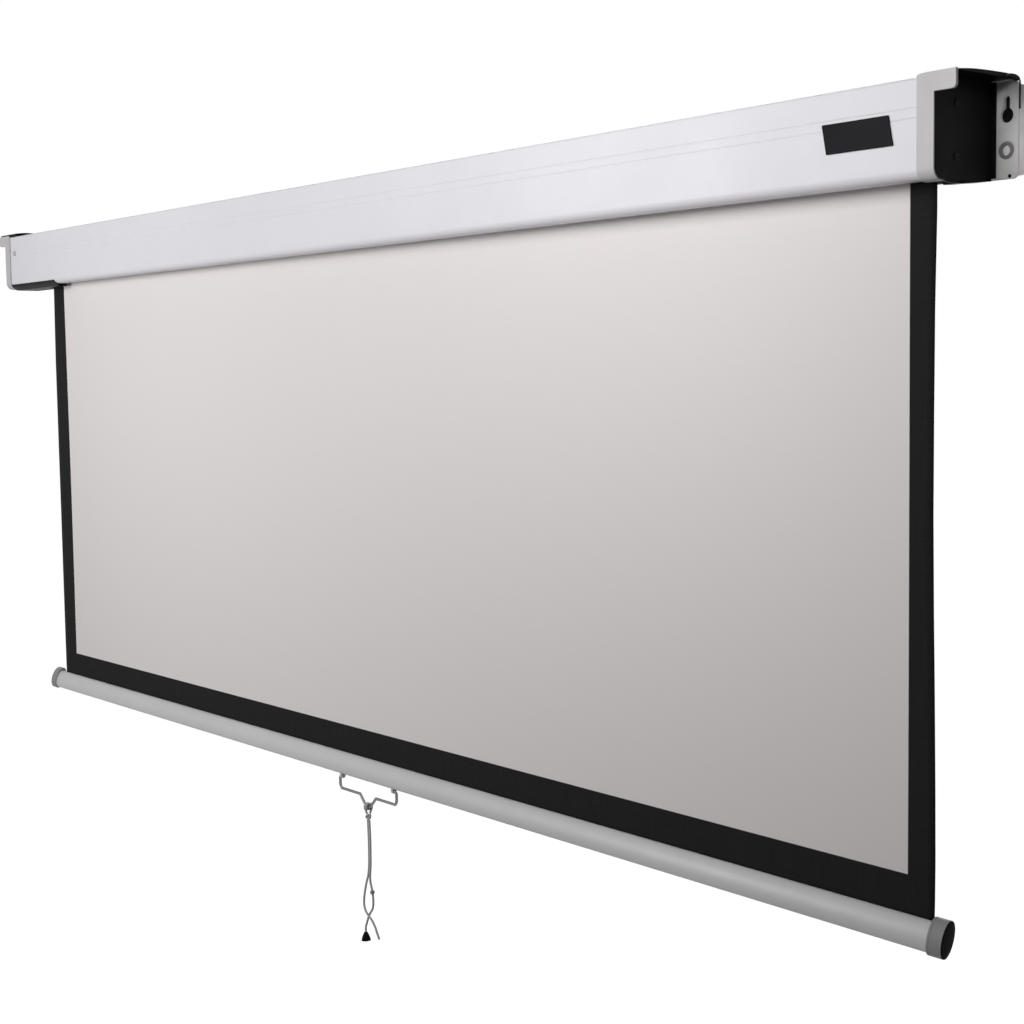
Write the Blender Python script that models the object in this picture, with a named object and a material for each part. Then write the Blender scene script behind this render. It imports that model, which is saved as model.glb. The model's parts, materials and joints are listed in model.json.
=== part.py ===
"""Wall-hung projection screen on a spring roller, partly pulled down.

Metres, +Z up, the viewer stands at -Y and the wall is the plane y = 0.
The origin is on the back of the case, halfway along it and halfway up it.
"""

import math

import bmesh
import bpy
from mathutils import Vector

# Fabric: the width of the sheet, from which the case gets its length
FABRIC_WIDTH = 1.805
LEFT_MARGIN = 0.1185
RIGHT_MARGIN = 0.0215
FABRIC_THICK = 0.0006
FABRIC_FROM_FACE = 0.0313

# Case: height and depth of the folded sheet, its wall and its round edges
CASE_HEIGHT = 0.087
CASE_DEPTH = 0.087
SHEET = 0.0010
CORNER_R = 0.003
LIP_R = 0.009
SLOT_FRONT_FROM_FACE = 0.019
SLOT_REAR_FROM_WALL = 0.038
HEM_HEIGHT = 0.0055
REAR_SLOPE_LENGTH = 0.022
REAR_SLOPE_RISE = 0.0035
GROOVE_Z = (0.0174, 0.0087)
GROOVE_WIDTH = 0.0014
GROOVE_DEPTH = 0.0006

# Gap that neighbouring pieces keep between their faces
GAP = 0.0003

# How far a cutter runs past what it cuts
CUT_PAST = 0.010

# End caps, covers, brackets and plates at each end of the case
CAP_STRIP = 0.018
CAP_WALL = 0.0015
CAP_EDGE_R = 0.0010
CAP_RISE = 0.0023
CAP_SLOPE_LENGTH = 0.005
CAP_SLOPE_DROP = 0.0014
CAP_RETURN = 0.010
CAP_BOTTOM_RETURN = 0.014
TONGUE_REACH = 0.0225
TONGUE_HEIGHT = 0.0168
TONGUE_THICK = 0.003
TONGUE_CORNER_R = 0.004
COVER_THICK = 0.002
COVER_DROP = 0.0032
COVER_REAR_RISE = 0.0015
COVER_LOW_PATH = ((0.60, -0.0031), (0.46, -0.0020), (0.33, -0.0007), (0.19, 0.0005))
ROOF_EDGE_RISE = 0.0015
ROOF_CROWN = 0.0027
ROOF_CREST = ((0.78, 0.62), (0.55, 0.90), (0.30, 1.00))
ROOF_JOINT = 0.0006
ROOF_CORNER_R = 0.0035
ROOF_REACH = 0.024
ROOF_LAP = 0.0425
BRACKET_THICK = 0.002
LEG_FROM_FACE = 0.0067
LEG_FROM_EDGE = 0.0065
FLANGE_REACH = 0.0267
FLANGE_DROP = 0.0019
FLANGE_CORNER_R = 0.005
PLATE_THICK = 0.003
PLATE_WIDTH = 0.030
PLATE_FROM_EDGE = 0.0045
PLATE_INSET = 0.0015
PLATE_CORNER_R = 0.003
KEYHOLE_OUT = 0.0153
KEYHOLE_HEAD_Z = 0.0137
KEYHOLE_HEAD_R = 0.0065
KEYHOLE_SLOT_W = 0.0058
KEYHOLE_TOP_Z = 0.0304
PLATE_HOLE_EXTRA = 0.0012
SCREW_HOLE_Z = -0.0167
SCREW_HOLE_R = 0.0046
GROMMET_R = 0.0088
GROMMET_BORE_R = 0.0034
GROMMET_FLANGE = 0.0012
SIDE_SCREW_Z = (0.022, -0.024)
SIDE_SCREW_FROM_FACE = 0.030
SCREW_HEAD_R = 0.0034
SCREW_SHANK_R = 0.0014
SCREW_HEAD_H = 0.0016
SCREW_LENGTH = 0.0055

# Things on the front of the case
BADGE_WIDTH = 0.075
BADGE_HEIGHT = 0.027
BADGE_LEAN = 0.0052
BADGE_THICK = 0.001
BADGE_FROM_END = 0.0835
BADGE_Z = 0.0014
FRONT_SCREW_FROM_END = 0.0338
FRONT_SCREW_Z = 0.0145
FRONT_SCREW_R = 0.0045
FRONT_SCREW_H = 0.0018
CLOSER_WALL = 0.0012
CLOSER_DROP = 0.0037
CLOSER_START = 200
CLOSER_TO_FABRIC = 0.003

# Roller that carries the fabric
ROLL_RADIUS = 0.0225
TUBE_RADIUS = 0.019
TUBE_WALL = 0.0012
TUBE_OVER_FABRIC = 0.004
ROLLER_Z = 0.004
PLUG_LENGTH = 0.010
IDLE_PLUG_FLANGE = 0.0016
PIN_RADIUS = 0.004
PIN_IN_PLUG = 0.009
BUSH_WALL = 0.0019
BUSH_FLANGE = 0.0018

# Spring motor: rod, ratchet, pawls and torsion spring
SPINDLE_TIP_WIDTH = 0.005
SPINDLE_TIP_LENGTH = 0.006
SPRING_LENGTH = 0.186
SPRING_FROM_PLUG = 0.001
SPRING_TURNS = 22
SPRING_RADIUS = 0.0092
SPRING_WIRE_R = 0.0010
SPRING_POINTS_PER_TURN = 8
ANCHOR_RADIUS = 0.0125
ANCHOR_LENGTH = 0.008
ROD_PAST_ANCHOR = 0.004
ROD_CHAMFER = 0.0005
RATCHET_RADIUS = 0.0075
RATCHET_THICK = 0.003
RATCHET_NOTCHES = 4
NOTCH_WIDTH = 0.0046
NOTCH_FLOOR_R = 0.0052
PAWL_PIVOT = (0.0112, 0.0088)
PAWL_NOSE_R = 0.0062
PAWL_NOSE_WIDTH = 0.0024
PAWL_ARM_R = 0.0026
PAWL_SWING = math.radians(20)
PAWL_PIN_R = 0.0014

# Bottom bar: an oval tube that leans with the pull of its front edge
VISIBLE_DROP = 0.6608
BAR_HALF_LONG = 0.0144
BAR_HALF_SHORT = 0.0070
BAR_LEAN = math.radians(22)
BAR_WALL = 0.0012
BAR_OVER_LEFT = 0.034
BAR_OVER_RIGHT = 0.020
COLLAR_LENGTH = 0.0165
COLLAR_WALL = 0.0014
COLLAR_TALLER = 0.0017
COLLAR_RAISED = 0.0015
END_FACE = 0.0015
TUBE_SHORT_OF_END = 0.0037
SPIGOT_IN_TUBE = 0.006
BAR_SLOT = 0.002
HEM_ROD_R = 0.0022
HEM_ROD_UP = 0.0085
HEM_ROD_INSET = 0.001

# Pull bail under the bar and the cord on it
BAIL_CENTRE_X = 0.066
BAIL_WIDTH = 0.1285
BAIL_WIRE_R = 0.0019
BAIL_LEG = 0.0174
BAIL_STUB = 0.0085
BAIL_STUB_PAST_LUG = 0.0005
BAIL_DIP_WIDTH = 0.036
BAIL_DIP_DEPTH = 0.0135
BAIL_DIP_FLAT = 0.010
BAIL_BEND_RADII = (0.0032, 0.006, 0.006, 0.0045)
LUG_THICK = 0.004
LUG_WIDTH = 0.0074
LUG_WALL = 0.0010
LUG_DROP = 0.0024
LUG_UP_BAR = 0.004
CORD_R = 0.0015
CORD_STEP = 2.2
HITCH_PITCH = 0.0036
HITCH_TURNS = 1.5
HITCH_POINTS_PER_TURN = 16
KNOT_DROP = 0.0135
KNOT_R = 0.0038
CONE_LENGTH = 0.011
CONE_R = 0.0055
BEAD_R = 0.0030
BEAD_LENGTH = 0.0044
BEAD_Z = -0.1135

# Routes of the two tails below the knot, from the hinge of the cord; y is towards the own side
LEFT_TAIL = (
    (-0.0006, 0.0000, -0.0420),
    (-0.0006, 0.0000, -0.0600),
    (-0.0011, 0.0000, -0.0770),
    (-0.0034, 0.0000, -0.0917),
    (-0.0077, 0.0000, -0.1026),
    (-0.0116, 0.0006, -0.1175),
    (-0.0130, 0.0012, -0.1310),
    (-0.0100, 0.0017, -0.1393),
    (-0.0042, 0.0019, -0.1446),
    (0.0044, 0.0017, -0.1500),
    (0.0106, 0.0010, -0.1575),
    (0.0144, 0.0005, -0.1650),
    (0.0188, 0.0000, -0.1735),
)
RIGHT_TAIL = (
    (0.0028, 0.0000, -0.0420),
    (0.0028, 0.0000, -0.0600),
    (0.0024, 0.0000, -0.0770),
    (0.0008, 0.0000, -0.0917),
    (0.0012, 0.0000, -0.1007),
    (0.0042, 0.0000, -0.1096),
    (0.0056, 0.0006, -0.1200),
    (0.0050, 0.0012, -0.1290),
    (0.0022, 0.0017, -0.1370),
    (-0.0042, 0.0019, -0.1446),
    (-0.0078, 0.0014, -0.1515),
    (-0.0103, 0.0008, -0.1585),
    (-0.0121, 0.0002, -0.1645),
    (-0.0119, 0.0000, -0.1712),
)

# Smoothness of round shapes
ROUND = 32
FINE_ROUND = 40
MORE = 24
SMALL_ROUND = 16
FEW = 12

# Places worked out from the sizes
CASE_LENGTH = LEFT_MARGIN + FABRIC_WIDTH + RIGHT_MARGIN
HALF_LENGTH = CASE_LENGTH / 2
FRONT = -CASE_DEPTH
TOP = CASE_HEIGHT / 2
BOTTOM = -CASE_HEIGHT / 2
COVER_OUT = HALF_LENGTH
COVER_IN = HALF_LENGTH - COVER_THICK
BRACKET_OUT = COVER_IN - GAP
BRACKET_IN = BRACKET_OUT - BRACKET_THICK
SHELL_END = BRACKET_IN - GAP
STRIP_IN = HALF_LENGTH - CAP_STRIP
CAP_TOP = TOP + CAP_RISE
CAP_FRONT = FRONT - GAP - CAP_WALL
TONGUE_BACK = CAP_FRONT + TONGUE_THICK
TONGUE_OUT = HALF_LENGTH + TONGUE_REACH
ROOF_OUT = HALF_LENGTH + ROOF_REACH
ROOF_UNDER = TOP + GAP
ROOF_EDGE_TOP = TOP + ROOF_EDGE_RISE
PLATE_FRONT = -PLATE_THICK
FLANGE_BACK = PLATE_FRONT - GAP
FLANGE_FRONT = FLANGE_BACK - BRACKET_THICK
LEG_FRONT = FRONT + LEG_FROM_FACE
LEG_HALF = CASE_HEIGHT / 2 - LEG_FROM_EDGE
KEYHOLE_X = HALF_LENGTH + KEYHOLE_OUT
SIDE_SCREW_Y = FRONT + SIDE_SCREW_FROM_FACE
FABRIC_Y = FRONT + FABRIC_FROM_FACE
FABRIC_RIGHT = HALF_LENGTH - RIGHT_MARGIN
FABRIC_LEFT = FABRIC_RIGHT - FABRIC_WIDTH
ROLLER_Y = FABRIC_Y + FABRIC_THICK / 2 + GAP + ROLL_RADIUS
TUBE_LEFT = FABRIC_LEFT - TUBE_OVER_FABRIC
TUBE_RIGHT = FABRIC_RIGHT + TUBE_OVER_FABRIC
BUSH_R = PIN_RADIUS + GAP + BUSH_WALL
BAR_Y = FABRIC_Y - BAR_HALF_LONG * math.sin(BAR_LEAN)
BAR_Z = BOTTOM - VISIBLE_DROP - BAR_HALF_LONG * math.cos(BAR_LEAN)
BAR_LEFT = FABRIC_LEFT - BAR_OVER_LEFT
BAR_RIGHT = FABRIC_RIGHT + BAR_OVER_RIGHT
BAR_LOW = math.hypot(BAR_HALF_LONG * math.cos(BAR_LEAN), BAR_HALF_SHORT * math.sin(BAR_LEAN))
BAR_LOW_Y = -(BAR_HALF_LONG ** 2 - BAR_HALF_SHORT ** 2) * math.sin(BAR_LEAN) * math.cos(BAR_LEAN) / BAR_LOW
BAIL_Y = BAR_Y + BAR_LOW_Y
BAIL_Z = BAR_Z - BAR_LOW - LUG_DROP
HITCH_Z = BAIL_Z - BAIL_LEG - BAIL_DIP_DEPTH


def clear_scene():
    """Remove every object, so that the script can be run again."""
    for obj in list(bpy.data.objects):
        bpy.data.objects.remove(obj, do_unlink=True)


def finish(name, colour, roughness, metallic=0.0):
    """A plain material with one colour, roughness and metallic value."""
    made = bpy.data.materials.new(name)
    made.use_nodes = True
    shader = made.node_tree.nodes["Principled BSDF"]
    shader.inputs["Base Color"].default_value = (*colour, 1.0)
    shader.inputs["Roughness"].default_value = roughness
    shader.inputs["Metallic"].default_value = metallic
    return made


def make_finishes():
    """The finishes of the object by name."""
    return {
        "case_white": finish("case_white", (0.80, 0.79, 0.83), 0.35),
        "cap_silver": finish("cap_silver", (0.60, 0.58, 0.58), 0.45),
        "cover_black": finish("cover_black", (0.006, 0.006, 0.006), 0.40),
        "bracket_grey": finish("bracket_grey", (0.32, 0.32, 0.32), 0.50, 0.3),
        "plate_zinc": finish("plate_zinc", (0.45, 0.44, 0.44), 0.45, 0.5),
        "steel": finish("steel", (0.50, 0.50, 0.50), 0.35, 1.0),
        "tube_aluminium": finish("tube_aluminium", (0.60, 0.60, 0.61), 0.40, 1.0),
        "nylon": finish("nylon", (0.75, 0.74, 0.70), 0.50),
        "fabric_white": finish("fabric_white", (0.70, 0.68, 0.67), 0.90),
        "bar_grey": finish("bar_grey", (0.50, 0.50, 0.51), 0.40, 0.2),
        "collar_grey": finish("collar_grey", (0.15, 0.15, 0.15), 0.55),
        "end_black": finish("end_black", (0.006, 0.006, 0.006), 0.60),
        "wire_grey": finish("wire_grey", (0.30, 0.30, 0.30), 0.40, 0.8),
        "cord_grey": finish("cord_grey", (0.36, 0.36, 0.36), 0.85),
    }


def empty(name, location):
    """An empty that marks a joint's place and carries the pieces that move with it."""
    made = bpy.data.objects.new(name, None)
    made.empty_display_size = 0.02
    made.location = location
    bpy.context.scene.collection.objects.link(made)
    return made


def add(name, bm, material, parent=None, location=(0, 0, 0), smooth=True):
    """Turn a bmesh into a named object with outward faces and one material."""
    bmesh.ops.remove_doubles(bm, verts=bm.verts, dist=0.000001)
    bmesh.ops.recalc_face_normals(bm, faces=bm.faces)
    mesh = bpy.data.meshes.new(name)
    bm.to_mesh(mesh)
    bm.free()
    if smooth:
        mesh.shade_smooth()
        mesh.set_sharp_from_angle(angle=math.radians(32))
    if material is not None:
        mesh.materials.append(material)
    obj = bpy.data.objects.new(name, mesh)
    obj.location = location
    obj.parent = parent
    bpy.context.scene.collection.objects.link(obj)
    return obj


def arc(centre, radius, start, end, steps):
    """Points on an arc, from start to end in degrees, both ends included."""
    turns = [math.radians(start + (end - start) * i / steps) for i in range(steps + 1)]
    return [(centre[0] + radius * math.cos(t), centre[1] + radius * math.sin(t)) for t in turns]


def extruded(outline, axis, low, high):
    """A closed outline given in the two other axes, drawn out along axis 0, 1 or 2."""
    bm = bmesh.new()
    verts = []
    for p in outline:
        point = list(p)
        point.insert(axis, low)
        verts.append(bm.verts.new(point))
    face = bm.faces.new(verts)
    grown = bmesh.ops.extrude_face_region(bm, geom=[face])
    moved = [v for v in grown["geom"] if isinstance(v, bmesh.types.BMVert)]
    step = Vector((0, 0, 0))
    step[axis] = high - low
    bmesh.ops.translate(bm, verts=moved, vec=step)
    return bm


def block(low, high):
    """A plain box from its lowest to its highest corner."""
    outline = [(low[0], low[1]), (high[0], low[1]), (high[0], high[1]), (low[0], high[1])]
    return extruded(outline, 2, low[2], high[2])


def turned(profile, steps=ROUND, centre=(0, 0)):
    """A profile of (x, radius) points spun round the X axis through centre (y, z)."""
    bm = bmesh.new()
    verts = [bm.verts.new((x, centre[0] + r, centre[1])) for x, r in profile]
    edges = [bm.edges.new((verts[i], verts[(i + 1) % len(verts)])) for i in range(len(verts))]
    bmesh.ops.spin(
        bm,
        geom=verts + edges,
        cent=(0, centre[0], centre[1]),
        axis=(1, 0, 0),
        angle=math.tau,
        steps=steps,
        use_merge=True,
    )
    return bm


def stepped(stations, steps=SMALL_ROUND, centre=(0, 0)):
    """A solid round shape along X from (x, radius) stations, with a face at each end."""
    bm = bmesh.new()
    turns = [math.tau * i / steps for i in range(steps)]
    rings = []
    for x, r in stations:
        ring = [(x, centre[0] + r * math.cos(t), centre[1] + r * math.sin(t)) for t in turns]
        rings.append([bm.verts.new(point) for point in ring])
    close_rings(bm, rings)
    bm.faces.new(rings[0])
    bm.faces.new(rings[-1])
    return bm


def rod(low, high, radius, steps=SMALL_ROUND, centre=(0, 0), bevel=0.0):
    """A solid round bar along X, with chamfered ends where bevel is set."""
    stations = [(low, radius), (high, radius)]
    if bevel > 0:
        stations = [(low, radius - bevel), (low + bevel, radius)]
        stations += [(high - bevel, radius), (high, radius - bevel)]
    return stepped(stations, steps, centre)


def sleeve(low, high, outer, inner, steps=ROUND):
    """A round tube along X."""
    return turned([(low, outer), (high, outer), (high, inner), (low, inner)], steps)


def close_rings(bm, rings, around=False):
    """Join each ring of points to the next, and the last to the first if around is set."""
    pairs = list(zip(rings, rings[1:]))
    if around:
        pairs.append((rings[-1], rings[0]))
    for a, b in pairs:
        for i in range(len(a)):
            j = (i + 1) % len(a)
            bm.faces.new((a[i], a[j], b[j], b[i]))


def bar_oval(x, grow, taller=0.0, raised=0.0):
    """The leaning oval at x: grow adds to both half axes, taller to the long one, raised lifts it."""
    points = []
    for i in range(ROUND):
        t = math.tau * i / ROUND
        along = (BAR_HALF_LONG + grow + taller) * math.cos(t) + raised
        across = (BAR_HALF_SHORT + grow) * math.sin(t)
        y = along * math.sin(BAR_LEAN) + across * math.cos(BAR_LEAN)
        z = along * math.cos(BAR_LEAN) - across * math.sin(BAR_LEAN)
        points.append((x, y, z))
    return points


def collar_oval(x, grow):
    """The taller oval of the bar's ends at x, which stands higher than the bar's own."""
    return bar_oval(x, grow, COLLAR_TALLER, COLLAR_RAISED)


def oval_loft(ovals, hollow=False):
    """Ovals joined one after the other into a solid."""
    bm = bmesh.new()
    rings = [[bm.verts.new(point) for point in outline] for outline in ovals]
    close_rings(bm, rings, around=hollow)
    if not hollow:
        bm.faces.new(rings[0])
        bm.faces.new(rings[-1])
    return bm


def boolean(target, tool, operation="DIFFERENCE"):
    """Cut target with tool, or join tool to it, and hide the tool."""
    tool.hide_render = True
    tool.display_type = "WIRE"
    change = target.modifiers.new("cut_" + tool.name, "BOOLEAN")
    change.operation = operation
    change.solver = "EXACT"
    change.object = tool


def helper(name, bm, parent=None, location=(0, 0, 0)):
    """A cutter or a shape to be joined, which is no piece by itself."""
    return add(name, bm, None, parent, location, smooth=False)


def wire(name, points, radius, material, parent, resolution=2):
    """A round wire or cord through points, with filled ends."""
    data = bpy.data.curves.new(name, "CURVE")
    data.dimensions = "3D"
    data.bevel_depth = radius
    data.bevel_resolution = resolution
    data.use_fill_caps = True
    line = data.splines.new("POLY")
    line.points.add(len(points) - 1)
    for place, point in zip(line.points, points):
        place.co = (*point, 1.0)
    data.materials.append(material)
    obj = bpy.data.objects.new(name, data)
    obj.parent = parent
    bpy.context.scene.collection.objects.link(obj)
    return obj


def bent(corners, radii, steps=4):
    """A path with straight runs and round bends at its inner corners."""
    points = [Vector(corners[0])]
    for i in range(1, len(corners) - 1):
        here = Vector(corners[i])
        back = (Vector(corners[i - 1]) - here).normalized()
        ahead = (Vector(corners[i + 1]) - here).normalized()
        half = back.angle(ahead) / 2
        radius = radii[i - 1]
        reach = radius / math.tan(half)
        centre = here + (back + ahead).normalized() * (radius / math.sin(half))
        first = (here + back * reach - centre).normalized()
        last = (here + ahead * reach - centre).normalized()
        for k in range(steps + 1):
            points.append(centre + first.slerp(last, k / steps) * radius)
    points.append(Vector(corners[-1]))
    return points


def smooth_route(route, spacing):
    """Points at an even spacing on a smooth curve through the route's own points."""
    path = [Vector(p) for p in route]
    ends = [path[0] * 2 - path[1]] + path + [path[-1] * 2 - path[-2]]
    fine = []
    for a, b, c, d in zip(ends, ends[1:], ends[2:], ends[3:]):
        for k in range(24):
            t = k / 24
            fine.append(0.5 * (
                b * 2 + (c - a) * t + (a * 2 - b * 5 + c * 4 - d) * t * t
                + (b * 3 - a - c * 3 + d) * t ** 3
            ))
    fine.append(path[-1])
    lengths = [0.0]
    for a, b in zip(fine, fine[1:]):
        lengths.append(lengths[-1] + (b - a).length)
    count = max(2, round(lengths[-1] / spacing))
    points = []
    at = 0
    for k in range(count + 1):
        want = lengths[-1] * k / count
        while at < len(lengths) - 2 and lengths[at + 1] < want:
            at += 1
        share = (want - lengths[at]) / (lengths[at + 1] - lengths[at])
        points.append(fine[at].lerp(fine[at + 1], min(1.0, share)))
    return points


def mirrored(outline, side):
    """An outline in (x, other) for the right end, turned over for the left end."""
    return [(side * x, other) for x, other in outline]


def case_outline():
    """The folded sheet of the case as one closed (y, z) outline, open at the fabric slot."""
    slot_front = FRONT + SLOT_FRONT_FROM_FACE
    slot_rear = -SLOT_REAR_FROM_WALL
    hem_top = BOTTOM + HEM_HEIGHT
    low_in = BOTTOM + SHEET
    grooves = []
    for z in GROOVE_Z:
        half = GROOVE_WIDTH / 2
        floor = FRONT + GROOVE_DEPTH
        grooves += [(FRONT, z + half), (floor, z + half * 0.5), (floor, z - half * 0.5), (FRONT, z - half)]
    outer = [(slot_rear - SHEET, hem_top), (slot_rear - SHEET, BOTTOM), (-REAR_SLOPE_LENGTH, BOTTOM)]
    outer += arc((-CORNER_R, BOTTOM + REAR_SLOPE_RISE + CORNER_R), CORNER_R, -80, 0, 4)
    outer += arc((-CORNER_R, TOP - CORNER_R), CORNER_R, 0, 90, 4)
    outer += arc((FRONT + CORNER_R, TOP - CORNER_R), CORNER_R, 90, 180, 4)
    outer += grooves
    outer += arc((FRONT + LIP_R, BOTTOM + LIP_R), LIP_R, 180, 270, 8)
    outer += [(slot_front, BOTTOM), (slot_front, hem_top), (slot_front - SHEET, hem_top)]
    inner = [(slot_front - SHEET, low_in)]
    inner += arc((FRONT + LIP_R, BOTTOM + LIP_R), LIP_R - SHEET, 270, 180, 8)
    inner += [(FRONT + SHEET, TOP - SHEET), (-SHEET, TOP - SHEET), (-SHEET, low_in + REAR_SLOPE_RISE)]
    inner += [(-REAR_SLOPE_LENGTH, low_in), (slot_rear, low_in), (slot_rear, hem_top)]
    return outer + inner


def build_case(looks):
    """The long white case with its two pressed lines."""
    add("case_shell", extruded(case_outline(), 0, -SHELL_END, SHELL_END), looks["case_white"])


def cap_outline(top_return):
    """The silver strip that wraps the front of the case's end, as a closed (y, z) outline."""
    inside = FRONT - GAP
    lip = (FRONT + LIP_R, BOTTOM + LIP_R)
    under = BOTTOM - GAP
    back = FRONT + CAP_BOTTOM_RETURN
    outer = arc((CAP_FRONT + CAP_EDGE_R, CAP_TOP - CAP_EDGE_R), CAP_EDGE_R, 90, 180, 3)
    outer += arc(lip, LIP_R + GAP + CAP_WALL, 180, 270, 8)
    outer += [(back, under - CAP_WALL), (back, under)]
    inner = arc(lip, LIP_R + GAP, 270, 180, 8)
    if top_return > 0:
        edge = FRONT + top_return
        return outer + inner + [(inside, TOP + GAP), (edge, TOP + GAP), (edge, CAP_TOP)]
    return outer + inner + [(inside, CAP_TOP)]


def tongue_outline(corner_r):
    """The tongue seen from the front, as an (x, z) outline with its lower outer corner rounded."""
    start = STRIP_IN + CAP_STRIP / 2
    low = CAP_TOP - TONGUE_HEIGHT
    outline = [(start, CAP_TOP), (start, low)]
    outline += arc((TONGUE_OUT - corner_r, low + corner_r), corner_r, -90, 0, 5)
    return outline + [(TONGUE_OUT, CAP_TOP)]


def build_end_cap(name, side, top_return, looks):
    """A silver end cap: the front strip, with a tongue that stands out past the case."""
    low, high = sorted((side * STRIP_IN, side * COVER_OUT))
    cap = add(name, extruded(cap_outline(top_return), 0, low, high), looks["cap_silver"])
    if top_return > 0:
        corner = block((BRACKET_OUT, TONGUE_BACK, TOP), (COVER_OUT + CUT_PAST, 0.0, CAP_TOP + CUT_PAST))
        turn_over(corner, side)
        boolean(cap, helper("cutter_" + name, corner))
    slope = [
        (STRIP_IN - CAP_SLOPE_LENGTH, CAP_TOP - 2 * CAP_SLOPE_DROP),
        (STRIP_IN + CAP_SLOPE_LENGTH, CAP_TOP),
        (STRIP_IN - CAP_SLOPE_LENGTH, CAP_TOP + CUT_PAST),
    ]
    waste = extruded(mirrored(slope, side), 1, CAP_FRONT - CUT_PAST, CAP_FRONT + CAP_RETURN + CUT_PAST)
    boolean(cap, helper("cutter_slope_" + name, waste))
    sheet = extruded(mirrored(tongue_outline(TONGUE_CORNER_R), side), 1, CAP_FRONT, TONGUE_BACK)
    tongue = helper("joined_" + name, sheet)
    room = block(
        (STRIP_IN, CAP_FRONT + CAP_WALL * 0.8, CAP_TOP - TONGUE_HEIGHT - CUT_PAST),
        (COVER_OUT + GAP, 0.0, CAP_TOP + CUT_PAST),
    )
    turn_over(room, side)
    boolean(tongue, helper("cutter_tongue_" + name, room))
    boolean(cap, tongue, "UNION")


def roof_outline():
    """The crowned roof over the end of the case as a closed (y, z) outline."""
    start = TONGUE_BACK + GAP
    back = -GAP * 2
    back_r = ROOF_CORNER_R
    high = ROOF_EDGE_TOP + ROOF_CROWN
    outline = [(start, ROOF_UNDER), (start, ROOF_EDGE_TOP)]
    outline += [(FRONT * depth, ROOF_EDGE_TOP + ROOF_CROWN * rise) for depth, rise in ROOF_CREST]
    outline += arc((back - back_r, high - back_r), back_r, 90, 0, 5)
    return outline + [(back, ROOF_UNDER)]


def cover_outline():
    """The black plate that closes the end of the case as a closed (y, z) outline."""
    back = FLANGE_FRONT - GAP
    in_roof = ROOF_UNDER + ROOF_JOINT
    start = TONGUE_BACK + GAP
    past_cap = FRONT + CAP_BOTTOM_RETURN + GAP * 2
    outline = [(start, in_roof), (start, TOP), (FRONT, TOP)]
    outline += arc((FRONT + LIP_R, BOTTOM + LIP_R), LIP_R, 180, 270, 8)
    outline += [(past_cap, BOTTOM), (past_cap, BOTTOM - COVER_DROP)]
    outline += [(FRONT * depth, BOTTOM + rise) for depth, rise in COVER_LOW_PATH]
    return outline + [(back, BOTTOM + COVER_REAR_RISE), (back, in_roof)]


def build_side_cover(name, side, lap, looks):
    """A black side cover with the roof that overhangs it, and any lap over the case."""
    low, high = sorted((side * COVER_IN, side * COVER_OUT))
    cover = add(name, extruded(cover_outline(), 0, low, high), looks["cover_black"])
    low, high = sorted((side * (COVER_OUT - lap), side * ROOF_OUT))
    roof = helper("joined_roof", extruded(roof_outline(), 0, low, high))
    boolean(cover, roof, "UNION")
    for z in SIDE_SCREW_Z:
        hole = rod(COVER_IN - CUT_PAST, COVER_OUT + CUT_PAST, SCREW_SHANK_R + GAP, FEW, (SIDE_SCREW_Y, z))
        turn_over(hole, side)
        boolean(cover, helper("cutter_screw", hole))


def turn_over(bm, side):
    """Mirror a shape made for the right end when it is wanted at the left end."""
    if side < 0:
        bmesh.ops.scale(bm, vec=(-1, 1, 1), verts=bm.verts)
        bmesh.ops.reverse_faces(bm, faces=bm.faces)


def keyhole_outline(grow):
    """The hanging hole in (x, z): a round head with a narrow slot above it."""
    half = KEYHOLE_SLOT_W / 2 + grow
    head = KEYHOLE_HEAD_R + grow
    start = math.degrees(math.acos(half / head))
    points = arc((KEYHOLE_X, KEYHOLE_HEAD_Z), head, 180 - start, 360 + start, 16)
    points += arc((KEYHOLE_X, KEYHOLE_TOP_Z - KEYHOLE_SLOT_W / 2), half, 0, 180, 6)
    return points


def round_outline(radius):
    """The round hole under the keyhole in (x, z)."""
    return arc((KEYHOLE_X, SCREW_HOLE_Z), radius, 0, 345, 23)


def corner_outline(centre, radius, turn):
    """What a rounded outer corner leaves over, in (x, z); turn is 1 at the top and -1 below."""
    past = radius + CUT_PAST
    waste = [(centre[0] + past, centre[1] + turn * past), (centre[0] + past, centre[1])]
    return waste + arc(centre, radius, 0, turn * 90, 5) + [(centre[0], centre[1] + turn * past)]


def cut_through(piece, outline, side, front, back):
    """Cut an (x, z) outline through a flat piece that lies between two depths."""
    shape = extruded(mirrored(outline, side), 1, front - CUT_PAST, back + CUT_PAST)
    boolean(piece, helper("cutter_" + piece.name, shape))


def bracket_outline():
    """The steel angle seen from above, in (x, y)."""
    outer = HALF_LENGTH + FLANGE_REACH
    return [
        (BRACKET_IN, LEG_FRONT),
        (BRACKET_OUT, LEG_FRONT),
        (BRACKET_OUT, FLANGE_FRONT),
        (outer, FLANGE_FRONT),
        (outer, FLANGE_BACK),
        (BRACKET_IN, FLANGE_BACK),
    ]


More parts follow.
